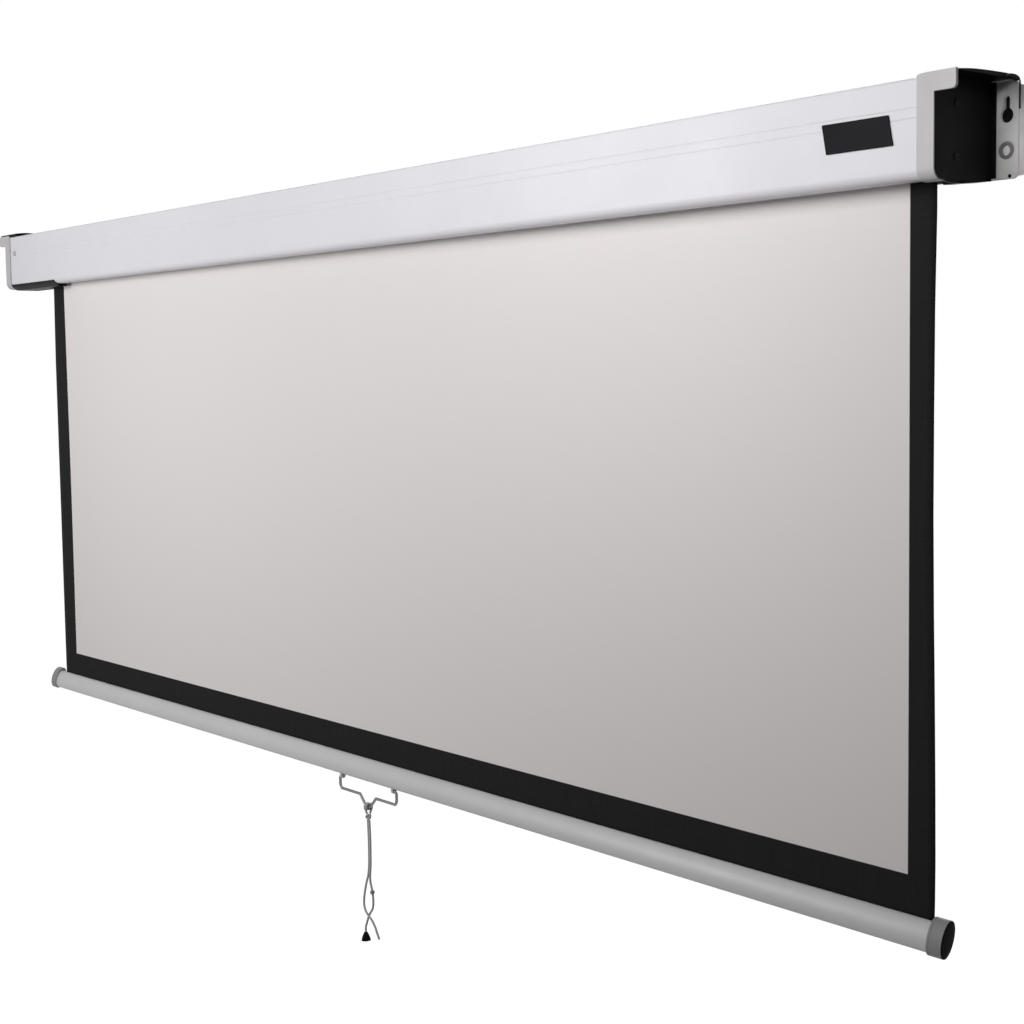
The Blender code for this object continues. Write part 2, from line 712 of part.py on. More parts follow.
def build_bracket(name, side, looks):
    """A grey steel angle: the leg inside the cover carries the roller, the flange meets the wall."""
    low_z = BOTTOM + FLANGE_DROP
    high_z = TOP - GAP
    bm = extruded(mirrored(bracket_outline(), side), 2, low_z, high_z)
    angle = add(name, bm, looks["bracket_grey"])
    for low, high in ((LEG_HALF, TOP + CUT_PAST), (BOTTOM - CUT_PAST, -LEG_HALF)):
        shape = block(
            (BRACKET_IN - CUT_PAST, LEG_FRONT - CUT_PAST, low),
            (BRACKET_OUT + GAP / 2, FLANGE_FRONT - GAP, high),
        )
        turn_over(shape, side)
        boolean(angle, helper("cutter_leg", shape))
    inner_x = HALF_LENGTH + FLANGE_REACH - FLANGE_CORNER_R
    for z, turn in ((low_z + FLANGE_CORNER_R, -1), (high_z - FLANGE_CORNER_R, 1)):
        waste = corner_outline((inner_x, z), FLANGE_CORNER_R, turn)
        cut_through(angle, waste, side, FLANGE_FRONT, FLANGE_BACK)
    for outline in (keyhole_outline(0.0), round_outline(SCREW_HOLE_R)):
        cut_through(angle, outline, side, FLANGE_FRONT, FLANGE_BACK)
    cut_leg_holes(angle, side)


def cut_leg_holes(angle, side):
    """The leg's two screw holes, with a bush seat at the right or a slot for the rod at the left."""
    low = BRACKET_IN - CUT_PAST
    high = BRACKET_OUT + CUT_PAST
    for z in SIDE_SCREW_Z:
        hole = rod(low, high, SCREW_SHANK_R + GAP, FEW, (SIDE_SCREW_Y, z))
        turn_over(hole, side)
        boolean(angle, helper("cutter_thread", hole))
    if side > 0:
        seat = rod(low, high, BUSH_R + GAP, MORE, (ROLLER_Y, ROLLER_Z))
        boolean(angle, helper("cutter_bush_seat", seat))
        return
    half = SPINDLE_TIP_WIDTH / 2 + GAP
    tall = PIN_RADIUS + GAP
    seat = block((-high, ROLLER_Y - half, ROLLER_Z - tall), (-low, ROLLER_Y + half, ROLLER_Z + tall))
    boolean(angle, helper("cutter_tip_seat", seat))


def build_wall_plate(name, side, looks):
    """The flat zinc plate between the flange and the wall, with larger holes than the flange."""
    low_x = HALF_LENGTH + PLATE_INSET
    high_x = low_x + PLATE_WIDTH
    half = CASE_HEIGHT / 2 - PLATE_FROM_EDGE
    r = PLATE_CORNER_R
    outline = [(low_x, -half)] + arc((high_x - r, -half + r), r, -90, 0, 4)
    outline += arc((high_x - r, half - r), r, 0, 90, 4) + [(low_x, half)]
    plate = add(name, extruded(mirrored(outline, side), 1, PLATE_FRONT, 0.0), looks["plate_zinc"])
    for outline in (keyhole_outline(PLATE_HOLE_EXTRA), round_outline(SCREW_HOLE_R + PLATE_HOLE_EXTRA)):
        cut_through(plate, outline, side, PLATE_FRONT, 0.0)


def build_grommet(name, side, looks):
    """A black ring in the flange's screw hole, with its flange on the front."""
    front = FLANGE_FRONT - GAP - GROMMET_FLANGE
    collar = SCREW_HOLE_R - GAP
    edge = GROMMET_FLANGE * 0.4
    profile = [
        (front, GROMMET_R - edge),
        (front, GROMMET_BORE_R),
        (FLANGE_BACK, GROMMET_BORE_R),
        (FLANGE_BACK, collar),
        (FLANGE_FRONT - GAP, collar),
        (FLANGE_FRONT - GAP, GROMMET_R),
        (front + edge, GROMMET_R),
    ]
    bm = turned(profile, MORE)
    for vert in bm.verts:
        depth, across, up = vert.co
        vert.co = (side * KEYHOLE_X + across, depth, SCREW_HOLE_Z + up)
    add(name, bm, looks["end_black"])


def build_side_screw(name, side, z, looks):
    """A pan-head screw through the side cover into the bracket."""
    under = COVER_OUT + GAP
    rings = [
        (under - SCREW_LENGTH, SCREW_SHANK_R),
        (under, SCREW_SHANK_R),
        (under, SCREW_HEAD_R),
        (under + SCREW_HEAD_H * 0.55, SCREW_HEAD_R * 0.9),
        (under + SCREW_HEAD_H, SCREW_HEAD_R * 0.5),
    ]
    bm = stepped(rings, FEW, (SIDE_SCREW_Y, z))
    turn_over(bm, side)
    add(name, bm, looks["cover_black"])


def build_front_details(looks):
    """The blank badge at the right and the single screw head at the left of the front."""
    back = FRONT - GAP
    right = HALF_LENGTH - BADGE_FROM_END + BADGE_WIDTH / 2 - BADGE_LEAN / 2
    left = right - BADGE_WIDTH
    half = BADGE_HEIGHT / 2
    outline = [
        (left, BADGE_Z + half),
        (right, BADGE_Z + half),
        (right + BADGE_LEAN, BADGE_Z - half),
        (left + BADGE_LEAN, BADGE_Z - half),
    ]
    badge = add("badge", extruded(outline, 1, back - BADGE_THICK, back), looks["end_black"], smooth=False)
    edge = badge.modifiers.new("edge", "BEVEL")
    edge.width = BADGE_THICK * 0.3
    edge.segments = 1
    head = stepped(
        [
            (-back, FRONT_SCREW_R),
            (-back + FRONT_SCREW_H * 0.5, FRONT_SCREW_R * 0.92),
            (-back + FRONT_SCREW_H, FRONT_SCREW_R * 0.5),
        ],
        SMALL_ROUND,
    )
    for vert in head.verts:
        depth, across, up = vert.co
        vert.co = (-HALF_LENGTH + FRONT_SCREW_FROM_END + across, -depth, FRONT_SCREW_Z + up)
    add("front_screw", head, looks["cap_silver"])


def build_slot_closer(looks):
    """The black strip that closes the slot between the left cap and the fabric."""
    lip = (FRONT + LIP_R, BOTTOM + LIP_R)
    under = BOTTOM - GAP
    back = -SLOT_REAR_FROM_WALL - SHEET
    outline = arc(lip, LIP_R + GAP + CLOSER_WALL, CLOSER_START, 235, 4)
    outline += [(FRONT + LIP_R, under - CLOSER_DROP), (back, under - CLOSER_DROP), (back, under)]
    outline += arc(lip, LIP_R + GAP, 270, CLOSER_START, 8)
    bm = extruded(outline, 0, -STRIP_IN + GAP, FABRIC_LEFT - CLOSER_TO_FABRIC)
    add("slot_closer", bm, looks["cover_black"])


def build_spindle(looks):
    """The fixed rod of the spring motor, with its flat tip, ratchet, spring and anchor."""
    tip = -(BRACKET_OUT - GAP)
    spring_start = TUBE_LEFT + PLUG_LENGTH + SPRING_FROM_PLUG
    anchor_left = spring_start + SPRING_LENGTH + GAP
    rod_end = anchor_left + ANCHOR_LENGTH + ROD_PAST_ANCHOR
    centre = empty("spindle_axis", (0, ROLLER_Y, ROLLER_Z))
    bar = rod(tip, rod_end, PIN_RADIUS, SMALL_ROUND, bevel=ROD_CHAMFER)
    spindle = add("spindle", bar, looks["steel"], centre)
    for way in (-1, 1):
        low, high = sorted((way * SPINDLE_TIP_WIDTH / 2, way * (PIN_RADIUS + CUT_PAST)))
        shape = block((tip - CUT_PAST, low, -CUT_PAST), (tip + SPINDLE_TIP_LENGTH, high, CUT_PAST))
        boolean(spindle, helper("cutter_tip", shape, centre))
    collar = sleeve(anchor_left, anchor_left + ANCHOR_LENGTH, ANCHOR_RADIUS, PIN_RADIUS + GAP, MORE)
    add("spring_anchor", collar, looks["nylon"], centre)
    build_ratchet(centre, looks)
    build_spring(centre, spring_start, looks)


def build_spring(centre, start, looks):
    """The torsion spring round the rod, with a short straight run along the rod at each end."""
    end = start + SPRING_LENGTH
    points = [(start, SPRING_RADIUS, 0.0)]
    count = SPRING_TURNS * SPRING_POINTS_PER_TURN
    straight = SPRING_WIRE_R * 2
    pitch = (SPRING_LENGTH - 2 * straight - 2 * SPRING_WIRE_R) / SPRING_TURNS
    for i in range(count + 1):
        turn = math.tau * i / SPRING_POINTS_PER_TURN
        x = start + straight + SPRING_WIRE_R + pitch * i / SPRING_POINTS_PER_TURN
        points.append((x, SPRING_RADIUS * math.cos(turn), SPRING_RADIUS * math.sin(turn)))
    points.append((end, SPRING_RADIUS, 0.0))
    print("least gap between spring coils, m:", round(pitch - 2 * SPRING_WIRE_R, 5))
    wire("torsion_spring", points, SPRING_WIRE_R, looks["steel"], centre, resolution=1)


def build_ratchet(centre, looks):
    """The notched disc that is fixed on the rod beside the roller's end."""
    right = TUBE_LEFT - GAP * 2
    left = right - RATCHET_THICK
    plain = sleeve(left, right, RATCHET_RADIUS, PIN_RADIUS + GAP, ROUND)
    disc = add("ratchet_disc", plain, looks["steel"], centre)
    half = NOTCH_WIDTH / 2
    for i in range(RATCHET_NOTCHES):
        shape = block(
            (left - CUT_PAST, -half, NOTCH_FLOOR_R),
            (right + CUT_PAST, half, RATCHET_RADIUS + CUT_PAST),
        )
        notch = helper("cutter_notch", shape, centre)
        notch.rotation_euler = (math.tau * i / RATCHET_NOTCHES, 0, 0)
        boolean(disc, notch)


def pawl_outline():
    """A pawl in (y, z) about its pivot, drawn where its nose lies in a notch."""
    nose = Vector((0.0, PAWL_NOSE_R)) - Vector(PAWL_PIVOT)
    away = math.degrees(math.atan2(-nose.y, -nose.x))
    half = PAWL_NOSE_WIDTH / 2
    neck = RATCHET_RADIUS - PAWL_NOSE_R + GAP * 2
    outline = arc((0, 0), PAWL_ARM_R, away - 90, away + 90, 8)
    outline += [(nose.x - half, nose.y + neck + PAWL_NOSE_WIDTH * 0.8), (nose.x - half, nose.y)]
    return outline + [(nose.x + half, nose.y), (nose.x + half, nose.y + neck)]


def build_pawls(plug_centre, looks):
    """Two pawls that swing on pins in the roller's left plug, half a turn apart."""
    right = TUBE_LEFT - GAP * 2
    left = right - RATCHET_THICK
    for name, sign in (("a", 1), ("b", -1)):
        pivot = (0, sign * PAWL_PIVOT[0], sign * PAWL_PIVOT[1])
        outline = [(sign * y, sign * z) for y, z in pawl_outline()]
        pawl = add("pawl_" + name, extruded(outline, 0, left, right), looks["steel"], plug_centre, pivot)
        pawl.rotation_euler = (-PAWL_SWING, 0, 0)
        hole = rod(left - CUT_PAST, right + CUT_PAST, PAWL_PIN_R + GAP, FEW)
        boolean(pawl, helper("cutter_pawl_" + name, hole, plug_centre, pivot))
        pin = rod(left - GAP * 2, TUBE_LEFT - GAP, PAWL_PIN_R, FEW, (pivot[1], pivot[2]))
        add("pawl_pin_" + name, pin, looks["steel"], plug_centre)


def build_roller(looks):
    """The roller with the wound part of the fabric, its two plugs and the idle pin."""
    centre = empty("roller_axis", (0, ROLLER_Y, ROLLER_Z))
    inner = TUBE_RADIUS - TUBE_WALL
    add("roller_tube", sleeve(TUBE_LEFT, TUBE_RIGHT, TUBE_RADIUS, inner), looks["tube_aluminium"], centre)
    roll = sleeve(FABRIC_LEFT, FABRIC_RIGHT, ROLL_RADIUS, TUBE_RADIUS + GAP, FINE_ROUND)
    add("fabric_roll", roll, looks["fabric_white"], centre)
    plug_r = inner - GAP
    add(
        "spring_plug",
        sleeve(TUBE_LEFT, TUBE_LEFT + PLUG_LENGTH, plug_r, PIN_RADIUS + GAP, ROUND),
        looks["nylon"],
        centre,
    )
    lip = TUBE_RIGHT + GAP
    profile = [
        (TUBE_RIGHT - PLUG_LENGTH, plug_r),
        (lip, plug_r),
        (lip, TUBE_RADIUS),
        (lip + IDLE_PLUG_FLANGE, TUBE_RADIUS),
        (lip + IDLE_PLUG_FLANGE, PIN_RADIUS + GAP),
        (TUBE_RIGHT - PLUG_LENGTH, PIN_RADIUS + GAP),
    ]
    add("idle_plug", turned(profile), looks["nylon"], centre)
    pin = rod(TUBE_RIGHT - PIN_IN_PLUG, BRACKET_OUT - GAP, PIN_RADIUS, MORE, bevel=ROD_CHAMFER)
    add("idle_pin", pin, looks["steel"], centre)
    build_pawls(centre, looks)


def build_bush(looks):
    """The flanged nylon bush in the right bracket, in which the idle pin turns."""
    bore = PIN_RADIUS + GAP
    face = BRACKET_IN - GAP
    profile = [
        (face - BUSH_FLANGE, BUSH_R + BUSH_WALL),
        (face, BUSH_R + BUSH_WALL),
        (face, BUSH_R),
        (BRACKET_OUT, BUSH_R),
        (BRACKET_OUT, bore),
        (face - BUSH_FLANGE, bore),
    ]
    centre = empty("bush_axis", (0, ROLLER_Y, ROLLER_Z))
    add("idle_bush", turned(profile, MORE), looks["nylon"], centre)


def build_bottom_bar(looks):
    """The oval bar in the fabric's hem, with its end collars, black ends and the lugs of the bail."""
    centre = empty("bar_middle", (0, BAR_Y, BAR_Z))
    tube_left = BAR_LEFT + TUBE_SHORT_OF_END + GAP
    tube_right = BAR_RIGHT - TUBE_SHORT_OF_END - GAP
    ovals = [bar_oval(tube_left, 0.0), bar_oval(tube_right, 0.0)]
    ovals += [bar_oval(tube_right, -BAR_WALL), bar_oval(tube_left, -BAR_WALL)]
    tube = add("bar_tube", oval_loft(ovals, hollow=True), looks["bar_grey"], centre)
    slot_y = FABRIC_Y - BAR_Y
    rod_at = (HEM_ROD_UP * math.sin(BAR_LEAN), HEM_ROD_UP * math.cos(BAR_LEAN))
    slot = block(
        (tube_left - CUT_PAST, slot_y - BAR_SLOT / 2, rod_at[1]),
        (tube_right + CUT_PAST, slot_y + BAR_SLOT / 2, BAR_HALF_LONG + CUT_PAST),
    )
    boolean(tube, helper("cutter_bar_slot", slot, centre))
    hem_left = FABRIC_LEFT + HEM_ROD_INSET
    hem_right = FABRIC_RIGHT - HEM_ROD_INSET
    add("hem_rod", rod(hem_left, hem_right, HEM_ROD_R, SMALL_ROUND, rod_at), looks["nylon"], centre)
    for name, side, end in (("l", -1, BAR_LEFT), ("r", 1, BAR_RIGHT)):
        build_bar_end(name, side, end, centre, looks)
    sheet = block(
        (FABRIC_LEFT, -FABRIC_THICK / 2, rod_at[1] + HEM_ROD_R + GAP),
        (FABRIC_RIGHT, FABRIC_THICK / 2, ROLLER_Z - BAR_Z),
    )
    bmesh.ops.translate(sheet, verts=sheet.verts, vec=(0, slot_y, 0))
    add("fabric_sheet", sheet, looks["fabric_white"], centre, smooth=False)
    build_lugs(centre, looks)


def build_bar_end(name, side, end, centre, looks):
    """The collar round one end of the bar, and the black end piece with its spigot in the tube."""
    low, high = sorted((end - side * COLLAR_LENGTH, end))
    outer = GAP + COLLAR_WALL
    ovals = [collar_oval(low, outer), collar_oval(high, outer), bar_oval(high, GAP), bar_oval(low, GAP)]
    add("bar_collar_" + name, oval_loft(ovals, hollow=True), looks["collar_grey"], centre)
    face = end + side * GAP
    spigot = -BAR_WALL - GAP
    rim = END_FACE * 0.4
    ovals = [
        bar_oval(end - side * (TUBE_SHORT_OF_END + SPIGOT_IN_TUBE), spigot),
        bar_oval(face, spigot),
        collar_oval(face, outer - GAP / 2),
        collar_oval(face + side * (END_FACE - rim), outer - GAP / 2),
        collar_oval(face + side * END_FACE, outer - GAP / 2 - rim),
    ]
    add("bar_end_" + name, oval_loft(ovals), looks["end_black"], centre)


def build_lugs(centre, looks):
    """Two lugs under the bar with holes for the ends of the bail."""
    drop = BAR_LOW + LUG_DROP
    round_r = BAIL_WIRE_R + GAP + LUG_WALL
    top = LUG_UP_BAR - BAR_LOW
    outline = [(BAR_LOW_Y - LUG_WIDTH / 2, top), (BAR_LOW_Y - round_r, -drop)]
    outline += arc((BAR_LOW_Y, -drop), round_r, 190, 350, 8)
    outline += [(BAR_LOW_Y + round_r, -drop), (BAR_LOW_Y + LUG_WIDTH / 2, top)]
    for name, side in (("l", -1), ("r", 1)):
        inner = BAIL_CENTRE_X + side * (BAIL_WIDTH / 2 - BAIL_STUB + BAIL_STUB_PAST_LUG)
        low, high = sorted((inner, inner + side * LUG_THICK))
        lug = add("bail_lug_" + name, extruded(outline, 0, low, high), looks["bar_grey"], centre)
        form = oval_loft([bar_oval(low - CUT_PAST, GAP), bar_oval(high + CUT_PAST, GAP)])
        boolean(lug, helper("cutter_bar_form", form, centre))
        hole = rod(low - CUT_PAST, high + CUT_PAST, BAIL_WIRE_R + GAP, SMALL_ROUND, (BAR_LOW_Y, -drop))
        boolean(lug, helper("cutter_lug_hole", hole, centre))


def build_bail(looks):
    """The bent wire that the hand pulls, hanging in the lugs."""
    centre = empty("bail_pivot", (BAIL_CENTRE_X, BAIL_Y, BAIL_Z))
    half = BAIL_WIDTH / 2
    dip = BAIL_DIP_WIDTH / 2
    flat = BAIL_DIP_FLAT / 2
    low = -BAIL_LEG
    bottom = low - BAIL_DIP_DEPTH
    right = [(flat, 0, bottom), (dip, 0, low), (half, 0, low), (half, 0, 0), (half - BAIL_STUB, 0, 0)]
    left = [(-x, y, z) for x, y, z in reversed(right)]
    radii = tuple(reversed(BAIL_BEND_RADII)) + BAIL_BEND_RADII
    wire("pull_bail", bent(left + right, radii), BAIL_WIRE_R, looks["wire_grey"], centre)


def build_cord(looks):
    """The doubled pull cord: its hitch on the wire, its knot, two tails, a cone and a bead."""
    centre = empty("cord_hinge", (BAIL_CENTRE_X, BAIL_Y, HITCH_Z))
    ring = BAIL_WIRE_R + CORD_R + GAP
    count = round(HITCH_TURNS * HITCH_POINTS_PER_TURN)
    points = []
    for i in range(count + 1):
        turn = i / HITCH_POINTS_PER_TURN
        angle = math.radians(-90) + math.tau * turn
        x = HITCH_PITCH * (turn - HITCH_TURNS / 2)
        points.append((x, ring * math.sin(angle), ring * math.cos(angle)))
    side = points[-1][0]
    knot_top = -KNOT_DROP + KNOT_R
    beside = CORD_R + GAP
    down = [(side, ring, -ring * 0.9), (side * 0.8, ring * 0.95, -ring * 1.5)]
    down.append((beside * 0.6, beside, knot_top + GAP))
    up = [(-x, -y, z) for x, y, z in reversed(down)]
    print("least gap between hitch turns, m:", round(HITCH_PITCH - 2 * CORD_R, 5))
    wire("cord_hitch", up + points + down, CORD_R, looks["cord_grey"], centre)
    knot = bmesh.new()
    bmesh.ops.create_uvsphere(knot, u_segments=FEW, v_segments=8, radius=KNOT_R)
    bmesh.ops.scale(knot, vec=(1.0, 0.85, 1.0), verts=knot.verts)
    bmesh.ops.translate(knot, vec=(0, 0, -KNOT_DROP), verts=knot.verts)
    add("cord_knot", knot, looks["cord_grey"], centre)
    for name, sign, route in (("left", -1, LEFT_TAIL), ("right", 1, RIGHT_TAIL)):
        start = (sign * (CORD_R + GAP / 2), 0.0, -KNOT_DROP - KNOT_R - GAP)
        through = [start] + [(x, sign * y, z) for x, y, z in route]
        points = smooth_route(through, CORD_R * 2 * CORD_STEP)
        wire("cord_tail_" + name, points, CORD_R, looks["cord_grey"], centre)
    build_cord_ends(centre, points, looks)


def build_cord_ends(centre, points, looks):
    """The black cone on the end of the right tail and the small bead higher on the same tail."""
    along = Vector((1, 0, 0))
    cone = stepped([(GAP, CORD_R), (CONE_LENGTH * 0.25, CONE_R * 0.55), (CONE_LENGTH, CONE_R)])
    tip = add("cord_cone", cone, looks["end_black"], centre, points[-1])
    tip.rotation_euler = along.rotation_difference(points[-1] - points[-2]).to_euler()
    above = max(p for p in range(len(points)) if points[p].z > BEAD_Z)
    place = (points[above] + points[above + 1]) / 2
    inner = CORD_R + GAP
    half = BEAD_LENGTH / 2
    profile = [(-half, inner), (-half, BEAD_R * 0.8), (0, BEAD_R), (half, BEAD_R * 0.8), (half, inner)]
    bead = add("cord_bead", turned(profile, SMALL_ROUND), looks["collar_grey"], centre, place)
    bead.rotation_euler = along.rotation_difference(points[above + 1] - points[above]).to_euler()


def main():
    """Build every piece in its place."""
    clear_scene()
    looks = make_finishes()
    build_case(looks)
    ends = (("l", -1, 0.0, ROOF_LAP), ("r", 1, CAP_RETURN, COVER_THICK))
    for name, side, top_return, lap in ends:
        build_end_cap("end_cap_" + name, side, top_return, looks)
        build_side_cover("side_cover_" + name, side, lap, looks)
        build_bracket("wall_bracket_" + name, side, looks)
        build_wall_plate("wall_plate_" + name, side, looks)
        build_grommet("grommet_" + name, side, looks)
        for place, z in zip(("upper", "lower"), SIDE_SCREW_Z):
            build_side_screw("side_screw_" + name + "_" + place, side, z, looks)
    build_front_details(looks)
    build_slot_closer(looks)
    build_spindle(looks)
    build_roller(looks)
    build_bush(looks)
    build_bottom_bar(looks)
    build_bail(looks)
    build_cord(looks)


main()
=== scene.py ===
"""Wall-hung projection screen on a spring roller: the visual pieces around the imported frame.

Metres, +Z up. The wall is the plane y = 0, the viewer stands at -Y, and the origin is on the back
of the case, halfway along it and halfway up it.
"""

import json
import logging
import math
from dataclasses import dataclass
from enum import Enum
from typing import Any, Iterable, Optional, Sequence, Union

import bmesh
import bpy
import numpy as np
from mathutils import Matrix, Vector

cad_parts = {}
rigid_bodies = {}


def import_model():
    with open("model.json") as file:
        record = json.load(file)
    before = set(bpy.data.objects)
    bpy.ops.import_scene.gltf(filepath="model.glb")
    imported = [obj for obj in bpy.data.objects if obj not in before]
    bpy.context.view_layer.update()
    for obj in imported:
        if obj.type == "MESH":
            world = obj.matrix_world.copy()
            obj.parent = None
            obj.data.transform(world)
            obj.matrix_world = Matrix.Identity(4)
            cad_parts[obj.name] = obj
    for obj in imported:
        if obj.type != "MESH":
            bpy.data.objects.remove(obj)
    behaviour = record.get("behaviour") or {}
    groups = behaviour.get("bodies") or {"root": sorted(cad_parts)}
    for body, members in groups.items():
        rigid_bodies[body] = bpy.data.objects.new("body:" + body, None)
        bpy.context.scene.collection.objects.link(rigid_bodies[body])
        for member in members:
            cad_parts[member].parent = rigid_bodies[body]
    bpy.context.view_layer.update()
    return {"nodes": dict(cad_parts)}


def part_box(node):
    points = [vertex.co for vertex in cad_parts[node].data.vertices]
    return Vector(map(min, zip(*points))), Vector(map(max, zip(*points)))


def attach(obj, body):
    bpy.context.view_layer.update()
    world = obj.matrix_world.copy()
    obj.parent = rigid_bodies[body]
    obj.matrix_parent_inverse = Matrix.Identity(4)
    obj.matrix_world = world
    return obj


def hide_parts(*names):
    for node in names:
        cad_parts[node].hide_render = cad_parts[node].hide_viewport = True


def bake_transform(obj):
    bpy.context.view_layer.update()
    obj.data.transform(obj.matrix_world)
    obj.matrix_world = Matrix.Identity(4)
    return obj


for leftover in list(bpy.data.objects):
    bpy.data.objects.remove(leftover)
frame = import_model()

log = logging.getLogger("screen")

Array = np.ndarray
Object = bpy.types.Object
Material = bpy.types.Material
Socket = bpy.types.NodeSocket
Wire = Union[Socket, float, Sequence[float]]

# Rows of two numbers: the points of a section, or a profile's distances and radii
Line = tuple[tuple[float, float], ...]

# Sizes that more than one sub-assembly uses
GAP = 0.0003
CASE_FRONT = -0.087
CASE_TOP = 0.0435
CASE_BOTTOM = -0.0435
CASE_HALF = 0.9725
LIP_R = 0.009
COVER_IN = 0.9705
ROOF_OUT = 0.9965
FLANGE_FACE = -0.0053
KEYHOLE_X = 0.9878
FABRIC_LEFT = -0.854
FABRIC_RIGHT = 0.951
FABRIC_Y = -0.0557
ROLLER_Y = -0.0326
ROLLER_Z = 0.004
BAR_Y = -0.061094
BAR_Z = -0.717651
BAR_LONG = 0.0144
BAR_SHORT = 0.0070
BAR_LEAN = math.radians(22)
BAR_LEFT = -0.888
BAR_RIGHT = 0.971
BAIL_X = 0.066
BAIL_Y = -0.065137
BAIL_Z = -0.733658
HITCH_Z = -0.764558
WIRE_R = 0.0019
CORD_R = 0.0015
KNOT_DROP = 0.0135
KNOT_R = 0.0038

# Words and colours that the node trees use more than once
VECTOR = "NodeSocketVector"
FLOAT = "NodeSocketFloat"
WHITE = (1.0, 1.0, 1.0, 1.0)

# What all finishes share: relief and blotches, the width of worn edges, and the look of dust
RELIEF_STRENGTH = 0.6
BLOTCH_SCALE = 6.0
ROUGH_SPREAD = (1.12, 0.90)
WEAR_WIDTH = 0.0007
DUST_COLOUR = (0.42, 0.40, 0.37, 1.0)
DUST_ROUGHNESS = 0.5

# Routes of the cord's two tails below the knot, from the hinge of the cord, as in the part's source
LEFT_TAIL = (
    (-0.0006, 0.0000, -0.0420),
    (-0.0006, 0.0000, -0.0600),
    (-0.0011, 0.0000, -0.0770),
    (-0.0034, 0.0000, -0.0917),
    (-0.0077, 0.0000, -0.1026),
    (-0.0116, 0.0006, -0.1175),
    (-0.0130, 0.0012, -0.1310),
    (-0.0100, 0.0017, -0.1393),
    (-0.0042, 0.0019, -0.1446),
    (0.0044, 0.0017, -0.1500),
    (0.0106, 0.0010, -0.1575),
    (0.0144, 0.0005, -0.1650),
    (0.0188, 0.0000, -0.1735),
)
RIGHT_TAIL = (
    (0.0028, 0.0000, -0.0420),
    (0.0028, 0.0000, -0.0600),
    (0.0024, 0.0000, -0.0770),
    (0.0008, 0.0000, -0.0917),
    (0.0012, 0.0000, -0.1007),
    (0.0042, 0.0000, -0.1096),
    (0.0056, 0.0006, -0.1200),
    (0.0050, 0.0012, -0.1290),
    (0.0022, 0.0017, -0.1370),
    (-0.0042, 0.0019, -0.1446),
    (-0.0078, 0.0014, -0.1515),
    (-0.0103, 0.0008, -0.1585),
    (-0.0121, 0.0002, -0.1645),
    (-0.0119, 0.0000, -0.1712),
)


class Body(Enum):
    """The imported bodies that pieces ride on."""

    CASE = "case"
    ROLLER = "roller"
    BAR = "bottom_bar"
    BAIL = "bail"
    CORD = "pull_cord"


class End(Enum):
    """The two ends of the case, with the sign of x there."""

    LEFT = -1
    RIGHT = 1

    @property
    def letter(self) -> str:
        """The letter that the nodes of this end carry."""
        return "l" if self is End.LEFT else "r"


class Relief(Enum):
    """What the fine relief of a finish looks like."""

    EVEN = "even"
    BRUSHED = "brushed"
    SPECKLED = "speckled"


# Shapes


def unit(vectors: Array) -> Array:
    """Vectors divided by their lengths.

    Args:
        vectors: an array whose last axis holds the components.

    Returns:
        The same array with every vector one unit long.
    """
    return vectors / np.maximum(np.linalg.norm(vectors, axis=-1, keepdims=True), 1e-12)


def rounded(corners: Sequence[Sequence[float]], radii: Any, steps: int = 6, closed: bool = True) -> Array:
    """A line through corners, with each corner replaced by an arc that touches both its sides.

    The arc runs between the two points that lie r / tan(half the corner's angle) away from the
    corner, about a centre on the bisector, and its points are the weighted sum
    (sin((1 - t) w) start + sin(t w) end) / sin(w) of the two radii, with w the angle of the arc.

    Args:
        corners: the corners in order, in two or three dimensions.
        radii: one radius, or one for each corner that is rounded.
        steps: how many chords each arc has.
        closed: whether the last corner joins the first.

    Returns:
        The points of the line in order.
    """
    points = np.asarray(corners, float)
    middle = points if closed else points[1:-1]
    before = np.roll(points, 1, 0) if closed else points[:-2]
    after = np.roll(points, -1, 0) if closed else points[2:]
    radius = np.broadcast_to(np.asarray(radii, float), len(middle))[:, None]
    a = unit(before - middle)
    b = unit(after - middle)
    half = 0.5 * np.arccos(np.clip((a * b).sum(1, keepdims=True), -1, 1))
    centre = middle + unit(a + b) * radius / np.sin(half)
    start = middle + a * radius / np.tan(half) - centre
    end = middle + b * radius / np.tan(half) - centre
    sweep = (math.pi - 2 * half)[:, None]
    t = np.linspace(0, 1, steps + 1)[None, :, None]
    arcs = (np.sin((1 - t) * sweep) * start[:, None] + np.sin(t * sweep) * end[:, None]) / np.sin(sweep)
    line = (centre[:, None] + arcs).reshape(-1, points.shape[1])
    if not closed:
        line = np.concatenate([points[:1], line, points[-1:]])
    apart = np.linalg.norm(line - np.roll(line, 1, 0), axis=1) > 1e-7
    return line[apart] if closed else line[np.r_[True, apart[1:]]]


def mitres(outline: Array) -> Array:
    """The inward move of each corner of a closed outline, for a side shift of one.

    Each is the sum of the two sides' inward normals over one plus their scalar product.

    Args:
        outline: the corners of a closed outline in order.

    Returns:
        One vector for each corner.
    """
    along = unit(np.roll(outline, -1, 0) - outline)
    inward = np.stack([-along[:, 1], along[:, 0]], 1)
    before = np.roll(inward, 1, 0)
    area = (outline[:, 0] * np.roll(outline[:, 1], -1) - np.roll(outline[:, 0], -1) * outline[:, 1]).sum()
    return math.copysign(1, area) * (inward + before) / (1 + (inward * before).sum(1, keepdims=True))


def laid(flat: Array, depth: Array, axis: int) -> Array:
    """Points of a plane figure put at depths along one axis.

    Args:
        flat: rows of outlines, of shape (rows, points, 2).
        depth: the depth of each row.
        axis: the axis of the depth; the other two keep their order.

    Returns:
        Points of shape (rows, points, 3).
    """
    depths = np.broadcast_to(np.asarray(depth, float)[:, None, None], (*flat.shape[:2], 1))
    return np.concatenate([flat[..., :axis], depths, flat[..., axis:]], -1)


